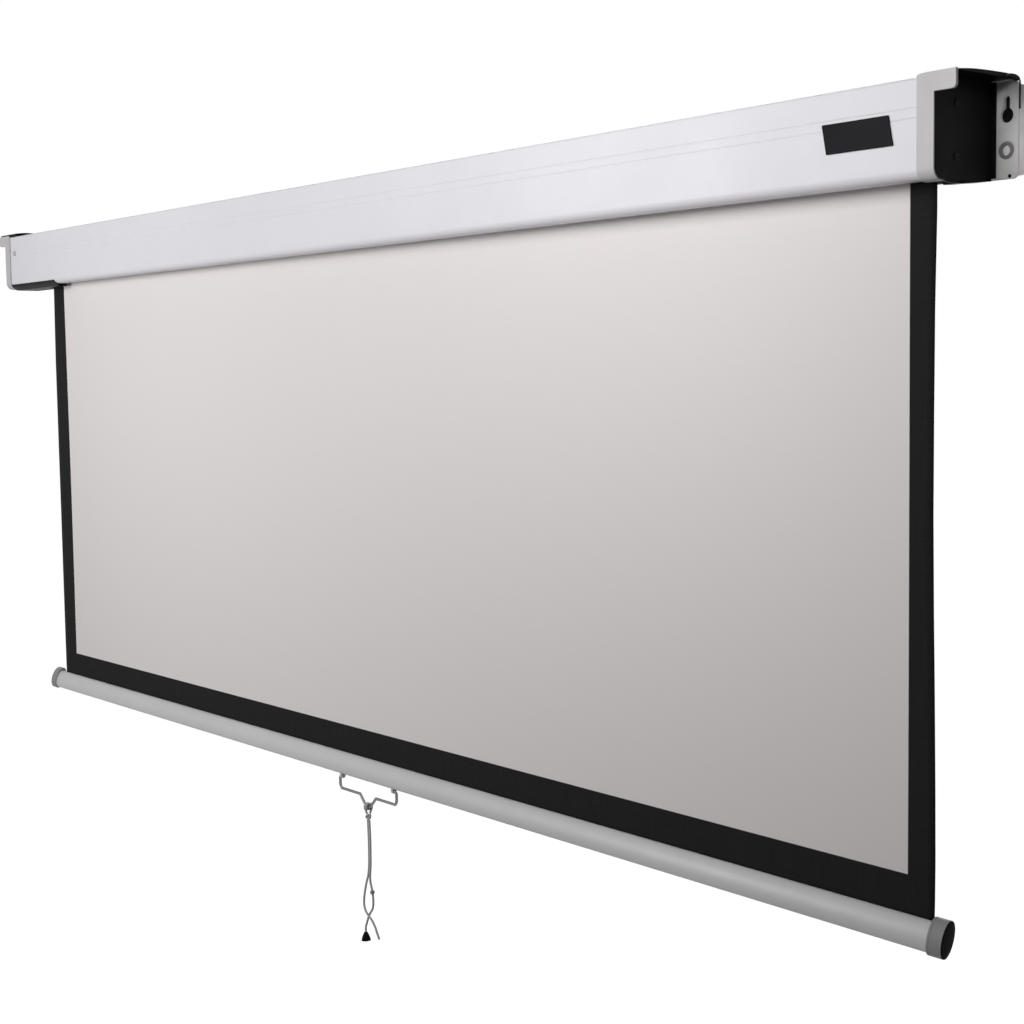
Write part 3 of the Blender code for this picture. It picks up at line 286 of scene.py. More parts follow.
def slab(outline: Array, axis: int, low: float, high: float, edge: float = 0.0, steps: int = 3) -> Array:
    """A plate with rounded edges: its outline carried from one depth to another.

    Near both faces the outline moves inwards by edge (1 - sin t) while the depth moves by
    edge (1 - cos t), for t from nought to a right angle.

    Args:
        outline: the closed outline, as the two coordinates other than the axis.
        axis: the axis of the plate's thickness.
        low: the lower face.
        high: the upper face.
        edge: the radius of the edges.
        steps: how many chords an edge has.

    Returns:
        Points of shape (rows, points, 3).
    """
    t = np.linspace(0, math.pi / 2, steps + 1) if edge else np.zeros(1)
    inward = edge * (1 - np.sin(t))
    depth = edge * (1 - np.cos(t))
    inwards = np.concatenate([inward, inward[::-1]])
    depths = np.concatenate([low + depth, (high - depth)[::-1]])
    return laid(outline[None] + inwards[:, None, None] * mitres(outline)[None], depths, axis)


def turned(
    profile: Union[Array, Sequence[Sequence[float]]],
    centre: Sequence[float],
    axis: Sequence[float],
    steps: int = 32,
) -> Array:
    """A profile carried round an axis: centre + distance along the axis + radius in each direction.

    Args:
        profile: rows of (distance along the axis, radius).
        centre: the point that distances are counted from.
        axis: the direction of the axis.
        steps: how many points go round.

    Returns:
        Points of shape (rows, steps, 3), for a grid that is closed round.
    """
    along = unit(np.asarray(axis, float))
    side = unit(np.cross(along, np.eye(3)[np.argmin(np.abs(along))]))
    other = np.cross(along, side)
    angle = np.arange(steps) * math.tau / steps
    ring = np.cos(angle)[:, None] * side + np.sin(angle)[:, None] * other
    profile = np.asarray(profile, float)
    return np.asarray(centre) + profile[:, :1, None] * along + profile[:, 1:, None] * ring


def smooth_line(through: Sequence[Sequence[float]], spacing: float) -> Array:
    """A smooth line through points, as cubic pieces that keep each point's neighbours' slope.

    Between points b and c with neighbours a and d the line is half of
    2b + (c - a) t + (2a - 5b + 4c - d) t^2 + (3b - a - 3c + d) t^3. It is then read at even steps.

    Args:
        through: the points that the line passes.
        spacing: about how far apart the points that come back are.

    Returns:
        Points in order, evenly spaced.
    """
    p = np.asarray(through, float)
    p = np.concatenate([[2 * p[0] - p[1]], p, [2 * p[-1] - p[-2]]])
    a, b, c, d = (p[i : len(p) - 3 + i, None] for i in range(4))
    t = np.linspace(0, 1, 24, endpoint=False)[None, :, None]
    fine = 0.5 * (2 * b + (c - a) * t + (2 * a - 5 * b + 4 * c - d) * t**2 + (3 * b - a - 3 * c + d) * t**3)
    fine = np.concatenate([fine.reshape(-1, 3), p[-2:-1]])
    run = np.concatenate([[0], np.cumsum(np.linalg.norm(np.diff(fine, axis=0), axis=1))])
    at = np.linspace(0, run[-1], max(3, round(run[-1] / spacing) + 1))
    return np.stack([np.interp(at, run, fine[:, i]) for i in range(3)], 1)


def run_of(path: Array) -> Array:
    """The distance along a path at each of its points."""
    return np.concatenate([[0], np.cumsum(np.linalg.norm(np.diff(path, axis=0), axis=1))])


def tube(path: Array, radius: Any, sides: int, keel: Sequence[float]) -> Array:
    """A round section carried along a path.

    The section's first direction is the part of the keel that is square to the path, and its
    second is square to both.

    Args:
        path: the centreline's points.
        radius: one radius, or an array that fits (points, sides).
        sides: how many points go round.
        keel: a direction that the path never runs along.

    Returns:
        Points of shape (points, sides, 3), for a grid that is closed round.
    """
    along = unit(np.gradient(path, axis=0))
    keel = np.asarray(keel, float)
    first = unit(keel - (along @ keel)[:, None] * along)
    second = np.cross(along, first)
    angle = np.arange(sides) * math.tau / sides
    ring = np.cos(angle)[:, None] * first[:, None] + np.sin(angle)[:, None] * second[:, None]
    return path[:, None] + np.broadcast_to(np.asarray(radius, float), (len(path), sides))[..., None] * ring


class Shell:
    """Grids of points and end faces that become one mesh."""

    def __init__(self) -> None:
        """Start with no points."""
        self.points: list[Array] = []
        self.faces: list[list[int]] = []
        self.marks: list[Array] = []
        self.count = 0

    def grid(
        self,
        points: Array,
        closed: bool = True,
        caps: bool = True,
        marks: Optional[Array] = None,
    ) -> "Shell":
        """Add a grid of points as quads.

        Args:
            points: an array of shape (rows, columns, 3).
            closed: whether the last column joins the first.
            caps: whether the first and last rows are closed by a face each.
            marks: flat coordinates in metres of shape (rows, columns or one more, 2).

        Returns:
            This shell, for further calls.
        """
        rows, columns = points.shape[:2]
        i, j = np.meshgrid(np.arange(rows - 1), np.arange(columns if closed else columns - 1), indexing="ij")
        k = (j + 1) % columns
        quads = np.stack([i * columns + j, i * columns + k, (i + 1) * columns + k, (i + 1) * columns + j], -1)
        self.faces += (quads.reshape(-1, 4) + self.count).tolist()
        if marks is None:
            marks = np.zeros((rows, columns + 1, 2))
        corners = np.stack([marks[i, j], marks[i, j + 1], marks[i + 1, j + 1], marks[i + 1, j]], 2)
        self.marks.append(corners.reshape(-1, 2))
        if caps:
            first = list(range(self.count, self.count + columns))
            last = [n + (rows - 1) * columns for n in first]
            self.faces += [first[::-1], last]
            self.marks.append(np.concatenate([marks[0, :columns][::-1], marks[-1, :columns]]))
        self.points.append(points.reshape(-1, 3))
        self.count += rows * columns
        return self

    def build(
        self,
        name: str,
        material: Material,
        sharp: float = 38.0,
        outward: bool = True,
        level: bool = False,
    ) -> Object:
        """Make the mesh object.

        Args:
            name: the object's name.
            material: its finish.
            sharp: the angle in degrees over which an edge stays sharp.
            outward: whether the faces are turned outwards, for a closed shape.
            level: whether large flat faces keep an even shade beside small rounded edges.

        Returns:
            The new object, at the origin.
        """
        mesh = bpy.data.meshes.new(name)
        mesh.from_pydata(np.concatenate(self.points), [], self.faces)
        layer = mesh.uv_layers.new(name="flat")
        layer.data.foreach_set("uv", np.concatenate(self.marks).astype(np.float32).ravel())
        work = bmesh.new()
        work.from_mesh(mesh)
        if outward:
            bmesh.ops.remove_doubles(work, verts=work.verts, dist=1e-6)
            bmesh.ops.recalc_face_normals(work, faces=work.faces)
        work.to_mesh(mesh)
        work.free()
        mesh.materials.append(material)
        mesh.shade_smooth()
        mesh.set_sharp_from_angle(angle=math.radians(sharp))
        made = bpy.data.objects.new(name, mesh)
        bpy.context.scene.collection.objects.link(made)
        if level:
            even = made.modifiers.new("even_shade", "WEIGHTED_NORMAL")
            even.keep_sharp = True
        return made


def place(piece: Object, body: Body, slot: str, *nodes: str) -> Object:
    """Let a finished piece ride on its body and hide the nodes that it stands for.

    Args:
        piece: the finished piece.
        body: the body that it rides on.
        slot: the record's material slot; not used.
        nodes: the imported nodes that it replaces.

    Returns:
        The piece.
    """
    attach(piece, body.value)
    if nodes:
        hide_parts(*nodes)
    log.info("%s rides on %s and stands for %s", piece.name, body.value, ", ".join(nodes) or "nothing")
    return piece


# Finishes


class Graph:
    """Short calls that add nodes to one node tree and join them."""

    def __init__(self, tree: bpy.types.NodeTree) -> None:
        """Work on one tree."""
        self.tree = tree

    def fill(self, made: bpy.types.Node, wires: dict) -> None:
        """Give a node's inputs their values, or join them to other sockets.

        Args:
            made: the node.
            wires: a value or a socket for each input, by name or number.
        """
        for key, value in wires.items():
            if isinstance(value, bpy.types.NodeSocket):
                self.tree.links.new(value, made.inputs[key])
            else:
                made.inputs[key].default_value = value

    def add(
        self,
        kind: str,
        wires: Optional[dict] = None,
        out: Union[int, str] = 0,
        **settings: Any,
    ) -> Socket:
        """Add a node.

        Args:
            kind: the node's type.
            wires: a value or a socket for each input, by name or number.
            out: which output comes back.
            settings: properties of the node.

        Returns:
            The chosen output.
        """
        made = self.tree.nodes.new(kind)
        for key, value in settings.items():
            setattr(made, key, value)
        self.fill(made, wires or {})
        return made.outputs[out]

    def math(self, operation: str, a: Wire, b: Wire = 0.0, clamp: bool = False) -> Socket:
        """A number worked out from one or two others."""
        return self.add("ShaderNodeMath", {0: a, 1: b}, operation=operation, use_clamp=clamp)

    def mix(self, factor: Wire, a: Wire, b: Wire) -> Socket:
        """A colour between two colours."""
        return self.add("ShaderNodeMix", {0: factor, 6: a, 7: b}, out=2, data_type="RGBA")

    def spread(self, value: Wire, low: float, high: float, start: float = 0.0, end: float = 1.0) -> Socket:
        """A number from start to end as the value goes from low to high, held outside them."""
        wires = {"Value": value, "From Min": low, "From Max": high, "To Min": start, "To Max": end}
        return self.add("ShaderNodeMapRange", wires)

    def noise(self, vector: Wire, scale: Wire, detail: float = 2.0) -> Socket:
        """Soft random values from nought to one."""
        return self.add("ShaderNodeTexNoise", {"Vector": vector, "Scale": scale, "Detail": detail})

    def stretched(self, vector: Wire, scale: Sequence[float]) -> Socket:
        """A coordinate that is stretched along its axes."""
        return self.add("ShaderNodeMapping", {"Vector": vector, "Scale": scale})

    def group(self, effect: str, wires: dict, out: str) -> Socket:
        """One output of a shared effect, placed with its own values.

        Args:
            effect: the group's name.
            wires: a value or a socket for each input, by name.
            out: the output's name.

        Returns:
            That output.
        """
        made = self.tree.nodes.new("ShaderNodeGroup")
        made.node_tree = bpy.data.node_groups[effect]
        self.fill(made, wires)
        return made.outputs[out]


class Effects:
    """The shared effects, each a node group with named inputs and outputs."""

    def new(self, name: str, inputs: dict[str, str], outputs: dict[str, str]) -> tuple[Graph, Any, Any]:
        """Start a group.

        Args:
            name: the group's name.
            inputs: the kind of each input, by name.
            outputs: the kind of each output, by name.

        Returns:
            The graph, the group's inputs and its output node's inputs.
        """
        tree = bpy.data.node_groups.new(name, "ShaderNodeTree")
        for word, kind in inputs.items():
            tree.interface.new_socket(name=word, in_out="INPUT", socket_type=kind)
        for word, kind in outputs.items():
            tree.interface.new_socket(name=word, in_out="OUTPUT", socket_type=kind)
        source = tree.nodes.new("NodeGroupInput")
        sink = tree.nodes.new("NodeGroupOutput")
        return Graph(tree), source.outputs, sink.inputs

    def build(self) -> None:
        """Make every shared effect once."""
        self.grain()
        self.brushing()
        self.speckle()
        self.blotches()
        self.dust()
        self.edge_wear()
        self.weave()

    def grain(self) -> None:
        """Even fine relief, as paint and moulded plastic have: 0.6 of noise and 0.4 of soft cells."""
        g, at, out = self.new("grain", {"Place": VECTOR, "Scale": FLOAT}, {"Height": FLOAT})
        fine = g.noise(at["Place"], at["Scale"], 3.0)
        wires = {"Vector": at["Place"], "Scale": at["Scale"]}
        cells = g.add("ShaderNodeTexVoronoi", wires, feature="SMOOTH_F1")
        both = g.math("ADD", g.math("MULTIPLY", fine, 0.6), g.math("MULTIPLY", cells, 0.4))
        g.tree.links.new(both, out["Height"])

    def brushing(self) -> None:
        """Long fine scratches along the length: noise that is drawn out along X."""
        g, at, out = self.new("brushing", {"Place": VECTOR, "Scale": FLOAT}, {"Height": FLOAT})
        drawn = g.stretched(at["Place"], (0.012, 1.0, 1.0))
        g.tree.links.new(g.noise(drawn, at["Scale"], 4.0), out["Height"])

    def speckle(self) -> None:
        """Small raised specks, as coarse powder coating has: the middles of random cells."""
        g, at, out = self.new("speckle", {"Place": VECTOR, "Scale": FLOAT}, {"Height": FLOAT})
        cells = g.add("ShaderNodeTexVoronoi", {"Vector": at["Place"], "Scale": at["Scale"]}, feature="F1")
        g.tree.links.new(g.spread(cells, 0.15, 0.55, 1.0, 0.0), out["Height"])

    def blotches(self) -> None:
        """A slow change of tone with smudges in it: 0.7 of slow noise and 0.3 of finer noise."""
        g, at, out = self.new("blotches", {"Place": VECTOR, "Scale": FLOAT}, {"Mask": FLOAT})
        slow = g.noise(at["Place"], at["Scale"], 3.0)
        smudge = g.noise(at["Place"], g.math("MULTIPLY", at["Scale"], 7.3), 4.0)
        both = g.math("ADD", g.math("MULTIPLY", slow, 0.7), g.math("MULTIPLY", smudge, 0.3))
        g.tree.links.new(g.spread(both, 0.34, 0.66), out["Mask"])

    def dust(self) -> None:
        """Dust in patches on faces which look up: a ramp of the normal's Z times noise."""
        g, at, out = self.new("dust", {"Place": VECTOR, "Amount": FLOAT}, {"Mask": FLOAT})
        normal = g.add("ShaderNodeNewGeometry", out="Normal")
        up = g.add("ShaderNodeSeparateXYZ", {0: normal}, out="Z")
        patches = g.spread(g.noise(at["Place"], 55.0, 5.0), 0.35, 0.75)
        lying = g.math("MULTIPLY", g.spread(up, 0.55, 0.95), patches)
        g.tree.links.new(g.math("MULTIPLY", lying, at["Amount"]), out["Mask"])

    def edge_wear(self) -> None:
        """A mask of worn edges: where a rounded normal leaves the true one, broken up by noise."""
        inputs = {"Place": VECTOR, "Width": FLOAT, "Amount": FLOAT}
        g, at, out = self.new("edge_wear", inputs, {"Mask": FLOAT})
        normal = g.add("ShaderNodeNewGeometry", out="Normal")
        soft = g.add("ShaderNodeBevel", {"Radius": at["Width"]}, samples=4)
        same = g.add("ShaderNodeVectorMath", {0: normal, 1: soft}, out="Value", operation="DOT_PRODUCT")
        edge = g.spread(same, 0.98, 0.80)
        broken = g.spread(g.noise(at["Place"], 240.0, 4.0), 0.42, 0.68)
        g.tree.links.new(g.math("MULTIPLY", g.math("MULTIPLY", edge, broken), at["Amount"]), out["Mask"])

    def weave(self) -> None:
        """Plain weave on flat coordinates.

        The height is the product of a sine across and a sine along, so that the threads pass over
        and under. The slubs are the sum of noise that is drawn out along each set of threads.
        """
        inputs = {"Flat": VECTOR, "Threads": FLOAT}
        g, at, out = self.new("weave", inputs, {"Height": FLOAT, "Slub": FLOAT})
        scaled = g.add("ShaderNodeVectorMath", {0: at["Flat"], "Scale": at["Threads"]}, operation="SCALE")
        parts = g.tree.nodes.new("ShaderNodeSeparateXYZ")
        g.tree.links.new(scaled, parts.inputs[0])
        warp = g.math("SINE", parts.outputs[0])
        weft = g.math("SINE", parts.outputs[1])
        over = g.math("MULTIPLY", warp, weft)
        g.tree.links.new(g.spread(over, -1.0, 1.0), out["Height"])
        lines = g.noise(g.stretched(at["Flat"], (1.0, 0.02, 1.0)), 900.0, 2.0)
        cross = g.noise(g.stretched(at["Flat"], (0.02, 1.0, 1.0)), 900.0, 2.0)
        g.tree.links.new(g.spread(g.math("ADD", lines, cross), 0.7, 1.3), out["Slub"])


def shade(colour: Sequence[float], share: float = 1.0) -> tuple[float, ...]:
    """A share of a colour, with the full cover that a colour socket asks for."""
    return (*(c * share for c in colour), 1.0)


@dataclass(frozen=True)
class Finish:
    """A painted, moulded or bare surface with relief, tone, worn edges and dust.

    Args:
        name: the material's name.
        colour: its linear colour.
        roughness: its middle roughness.
        metallic: one for bare metal.
        relief: the kind of fine relief.
        scale: relief features in a metre.
        depth: height of the relief in metres.
        tone: how far the blotches darken the colour.
        worn: the colour under worn edges.
        wear: how strong the edge wear is.
        dust: how strong the dust is.
        specular: how strongly a surface that isn't metal reflects.
    """

    name: str
    colour: tuple[float, float, float]
    roughness: float
    metallic: float = 0.0
    relief: Relief = Relief.EVEN
    scale: float = 1400.0
    depth: float = 0.00003
    tone: float = 0.06
    worn: tuple[float, float, float] = (0.35, 0.35, 0.35)
    wear: float = 0.25
    dust: float = 0.08
    specular: float = 0.5

    def make(self) -> Material:
        """Build the material.

        Returns:
            The new material.
        """
        material = bpy.data.materials.new(self.name)
        material.use_nodes = True
        g = Graph(material.node_tree)
        shader = material.node_tree.nodes["Principled BSDF"]
        place_at = g.add("ShaderNodeTexCoord", out="Object")
        effect = {Relief.EVEN: "grain", Relief.BRUSHED: "brushing", Relief.SPECKLED: "speckle"}[self.relief]
        height = g.group(effect, {"Place": place_at, "Scale": self.scale}, "Height")
        blotch = g.group("blotches", {"Place": place_at, "Scale": BLOTCH_SCALE}, "Mask")
        wear = g.group("edge_wear", {"Place": place_at, "Width": WEAR_WIDTH, "Amount": self.wear}, "Mask")
        dust = g.group("dust", {"Place": place_at, "Amount": self.dust}, "Mask")
        colour = g.mix(blotch, shade(self.colour, 1 - self.tone), shade(self.colour))
        colour = g.mix(wear, colour, shade(self.worn))
        colour = g.mix(dust, colour, DUST_COLOUR)
        rough = g.spread(blotch, 0.0, 1.0, *(self.roughness * share for share in ROUGH_SPREAD))
        rough = g.math("ADD", rough, g.math("MULTIPLY", dust, DUST_ROUGHNESS), clamp=True)
        wires = {"Strength": RELIEF_STRENGTH, "Distance": self.depth, "Height": height}
        relief = g.add("ShaderNodeBump", wires)
        for key, value in (("Base Color", colour), ("Roughness", rough), ("Normal", relief)):
            g.tree.links.new(value, shader.inputs[key])
        shader.inputs["Metallic"].default_value = self.metallic
        shader.inputs["Specular IOR Level"].default_value = self.specular
        return material


@dataclass(frozen=True)
class ScreenCloth:
    """The projection fabric: matt white with black borders on the flat coordinates of the cloth.

    Args:
        name: the material's name.
        white: the colour of the picture area.
        black: the colour of the borders.
        left: width of the left border in metres.
        right: where the right border starts, counted from the left edge.
        low: height at which the white area starts above the lower edge.
        soft: half the width over which white turns to black.
        threads: how closely the weave's threads lie.
        thread_white: the white of the thinner threads, as a share of the white.
        thread_black: the blacks of the thin and the thick threads, as shares of the black.
        blotch_scale: blotches in a metre.
        blotch_white: the white in a blotch, as a share of the white.
        blotch_share: how strong the blotches are.
        rough: the roughness of the thin and the thick threads.
        relief: how strong the weave's relief is.
        depth: its height in metres.
        specular: how strongly the cloth reflects.
        plain: whether the whole face is one colour, as on the back.
    """

    name: str
    white: tuple[float, float, float] = (0.80, 0.755, 0.755)
    black: tuple[float, float, float] = (0.0155, 0.0150, 0.0155)
    left: float = 0.0385
    right: float = 1.777
    low: float = 0.0400
    soft: float = 0.0004
    threads: float = 7400.0
    thread_white: float = 0.985
    thread_black: tuple[float, float] = (0.9, 1.1)
    blotch_scale: float = 3.0
    blotch_white: float = 0.96
    blotch_share: float = 0.25
    rough: tuple[float, float] = (0.93, 0.82)
    relief: float = 0.35
    depth: float = 0.00006
    specular: float = 0.08
    plain: bool = False

    def make(self) -> Material:
        """Build the material.

        Returns:
            The new material.
        """
        material = bpy.data.materials.new(self.name)
        material.use_nodes = True
        g = Graph(material.node_tree)
        shader = material.node_tree.nodes["Principled BSDF"]
        flat = g.add("ShaderNodeUVMap", uv_map="flat")
        woven = {"Flat": flat, "Threads": self.threads}
        height = g.group("weave", woven, "Height")
        slub = g.group("weave", woven, "Slub")
        blotch = g.group("blotches", {"Place": flat, "Scale": self.blotch_scale}, "Mask")
        thin, thick = self.thread_black
        pale = g.mix(slub, shade(self.white, self.thread_white), shade(self.white))
        blotchy = g.math("MULTIPLY", blotch, self.blotch_share)
        pale = g.mix(blotchy, pale, shade(self.white, self.blotch_white))
        dark = g.mix(slub, shade(self.black, thin), shade(self.black, thick))
        if self.plain:
            colour = dark
        else:
            parts = g.tree.nodes.new("ShaderNodeSeparateXYZ")
            g.tree.links.new(flat, parts.inputs[0])
            across, up, soft = parts.outputs[0], parts.outputs[1], self.soft
            inside = g.spread(across, self.left - soft, self.left + soft)
            inside = g.math("MULTIPLY", inside, g.spread(across, self.right + soft, self.right - soft))
            inside = g.math("MULTIPLY", inside, g.spread(up, self.low - soft, self.low + soft))
            colour = g.mix(inside, dark, pale)
        rough = g.spread(slub, 0.0, 1.0, *self.rough)
        relief = g.add("ShaderNodeBump", {"Strength": self.relief, "Distance": self.depth, "Height": height})
        for key, value in (("Base Color", colour), ("Roughness", rough), ("Normal", relief)):
            g.tree.links.new(value, shader.inputs[key])
        shader.inputs["Specular IOR Level"].default_value = self.specular
        return material


@dataclass(frozen=True)
class Braid:
    """Braided cord, with its fibres on the flat coordinates along and round the cord.

    Args:
        name: the material's name.
        colour: the yarn's colour.
        deep: the colour between the strands, a painted shade where the fibres' relief is low.
        turn: the angle of the fibres to the cord, in radians.
        fineness: fibres in a metre.
        soil_scale: spots of soil in a metre.
        soil_shade: the colour of soiled yarn, as a share of the colour.
        soil_share: how strong the soil is.
        rough: the roughness between the fibres and on them.
        relief: how strong the fibres' relief is.
        depth: its height in metres.
        sheen: the strength and the roughness of the yarn's sheen.
    """

    name: str
    colour: tuple[float, float, float]
    deep: tuple[float, float, float]
    turn: float = 0.75
    fineness: float = 5200.0
    soil_scale: float = 60.0
    soil_shade: float = 0.8
    soil_share: float = 0.3
    rough: tuple[float, float] = (0.95, 0.75)
    relief: float = 0.7
    depth: float = 0.0001
    sheen: tuple[float, float] = (0.25, 0.4)

    def fibres(self, g: Graph, flat: Socket, turn: float) -> Socket:
        """One set of fibres: noise that is drawn out along lines at an angle to the cord.

        Args:
            g: the material's graph.
            flat: the flat coordinates.
            turn: the angle of the lines.

        Returns:
            Values from nought to one.
        """
        wires = {"Vector": flat, "Rotation": (0.0, 0.0, turn), "Scale": (1.0, 0.08, 1.0)}
        return g.noise(g.add("ShaderNodeMapping", wires), self.fineness, 3.0)

    def make(self) -> Material:
        """Build the material.

        Returns:
            The new material.
        """
        material = bpy.data.materials.new(self.name)
        material.use_nodes = True
        g = Graph(material.node_tree)
        shader = material.node_tree.nodes["Principled BSDF"]
        flat = g.add("ShaderNodeUVMap", uv_map="flat")
        fibres = g.math("MAXIMUM", self.fibres(g, flat, self.turn), self.fibres(g, flat, -self.turn))
        soil = g.group("blotches", {"Place": flat, "Scale": self.soil_scale}, "Mask")
        # Painted shade: the colour falls to deep where the fibres' relief is low
        colour = g.mix(g.spread(fibres, 0.42, 0.70), shade(self.deep), shade(self.colour))
        soiled = shade(self.colour, self.soil_shade)
        colour = g.mix(g.math("MULTIPLY", soil, self.soil_share), colour, soiled)
        relief = g.add("ShaderNodeBump", {"Strength": self.relief, "Distance": self.depth, "Height": fibres})
        g.tree.links.new(colour, shader.inputs["Base Color"])
        g.tree.links.new(g.spread(fibres, 0.3, 0.8, *self.rough), shader.inputs["Roughness"])
        g.tree.links.new(relief, shader.inputs["Normal"])
        weight, roughness = self.sheen
        shader.inputs["Sheen Weight"].default_value = weight
        shader.inputs["Sheen Roughness"].default_value = roughness
        return material


class Finishes:
    """Every finish of the screen, made once."""

    def __init__(self) -> None:
        """Build the shared effects and then the materials."""
        Effects().build()
        self.case = Finish("case_paint", (0.725, 0.715, 0.75), 0.46, relief=Relief.BRUSHED, scale=2600.0,
                           depth=0.000012, tone=0.035, worn=(0.62, 0.62, 0.64), wear=0.35, dust=0.05,
                           specular=0.32).make()
        self.cap = Finish("cap_silver_paint", (0.545, 0.532, 0.542), 0.50, metallic=0.02, scale=2200.0,
                          depth=0.00002, tone=0.09, worn=(0.42, 0.41, 0.41), wear=0.3, dust=0.02,
                          specular=0.15).make()
        self.cover = Finish("cover_black_plastic", (0.0045, 0.0044, 0.0045), 0.42, scale=1100.0,
                            depth=0.00004, tone=0.2, worn=(0.03, 0.03, 0.03), wear=0.3, dust=0.02,
                            specular=0.04).make()
        self.black = Finish("end_black_plastic", (0.0040, 0.0039, 0.0040), 0.50, scale=1500.0,
                            depth=0.00003, tone=0.2, worn=(0.02, 0.02, 0.02), dust=0.02, specular=0.04).make()
        self.badge = Finish("badge_black_plate", (0.0060, 0.0056, 0.0075), 0.45, scale=3000.0, depth=0.000006,
                            tone=0.15, worn=(0.06, 0.06, 0.06), wear=0.2, dust=0.02, specular=0.05).make()
        self.bracket = Finish("bracket_grey_coat", (0.42, 0.415, 0.415), 0.48, metallic=0.15,
                              relief=Relief.SPECKLED, scale=900.0, depth=0.00005, tone=0.10,
                              worn=(0.55, 0.55, 0.55), wear=0.4).make()
        self.ring = Finish("ring_grey_plastic", (0.100, 0.098, 0.100), 0.50, scale=1300.0, depth=0.00003,
                           tone=0.15, worn=(0.20, 0.20, 0.20), specular=0.3).make()
        self.zinc = Finish("plate_zinc", (0.44, 0.43, 0.43), 0.42, metallic=0.55, scale=500.0, depth=0.00002,
                           tone=0.22, worn=(0.60, 0.60, 0.60), wear=0.3).make()
        self.screw = Finish("screw_black_oxide", (0.006, 0.006, 0.006), 0.45, metallic=0.1, tone=0.3,
                            worn=(0.03, 0.03, 0.03), wear=0.4, dust=0.02, specular=0.12).make()
        self.steel = Finish("bright_steel", (0.50, 0.50, 0.50), 0.33, metallic=1.0, relief=Relief.BRUSHED,
                            scale=3000.0, depth=0.00001, tone=0.18, worn=(0.7, 0.7, 0.7)).make()
        self.tube = Finish("tube_mill_aluminium", (0.62, 0.62, 0.63), 0.38, metallic=1.0,
                           relief=Relief.BRUSHED, scale=2400.0, depth=0.00001, tone=0.12,
                           worn=(0.75, 0.75, 0.75)).make()
        self.nylon = Finish("moulded_nylon", (0.74, 0.72, 0.67), 0.5, scale=900.0, depth=0.00002, tone=0.08,
                            worn=(0.8, 0.79, 0.76)).make()
        self.bar = Finish("bar_grey_coat", (0.60, 0.595, 0.60), 0.42, relief=Relief.BRUSHED, scale=2400.0,
                          depth=0.000012, tone=0.06, worn=(0.62, 0.62, 0.62), wear=0.25, dust=0.06).make()
        self.collar = Finish("collar_grey_plastic", (0.240, 0.236, 0.240), 0.50, scale=1300.0, depth=0.00004,
                             tone=0.15, worn=(0.22, 0.22, 0.22)).make()
        self.wire = Finish("bail_grey_wire", (0.20, 0.20, 0.205), 0.38, metallic=0.7, scale=1800.0,
                           depth=0.00002, tone=0.25, worn=(0.45, 0.45, 0.45), wear=0.5).make()
        self.front_cloth = ScreenCloth("screen_cloth_front").make()
        self.back_cloth = ScreenCloth("screen_cloth_back", plain=True, black=(0.020, 0.020, 0.021)).make()
        # The cord's second colour is the painted shade between its fibres
        self.cord = Braid("cord_grey_braid", (0.66, 0.65, 0.655), (0.36, 0.355, 0.36)).make()


# Sub-assemblies


def looked_at(g: Graph) -> Socket:
    """One for a ray that the camera, a gloss or a clear part sends at a background, else nought.

    Args:
        g: the graph of the background's own tree.

    Returns:
        The largest of the three ray tests.
    """
    path = g.tree.nodes.new("ShaderNodeLightPath").outputs
    seen = g.math("MAXIMUM", path["Is Camera Ray"], path["Is Glossy Ray"])
    return g.math("MAXIMUM", seen, path["Is Transmission Ray"])


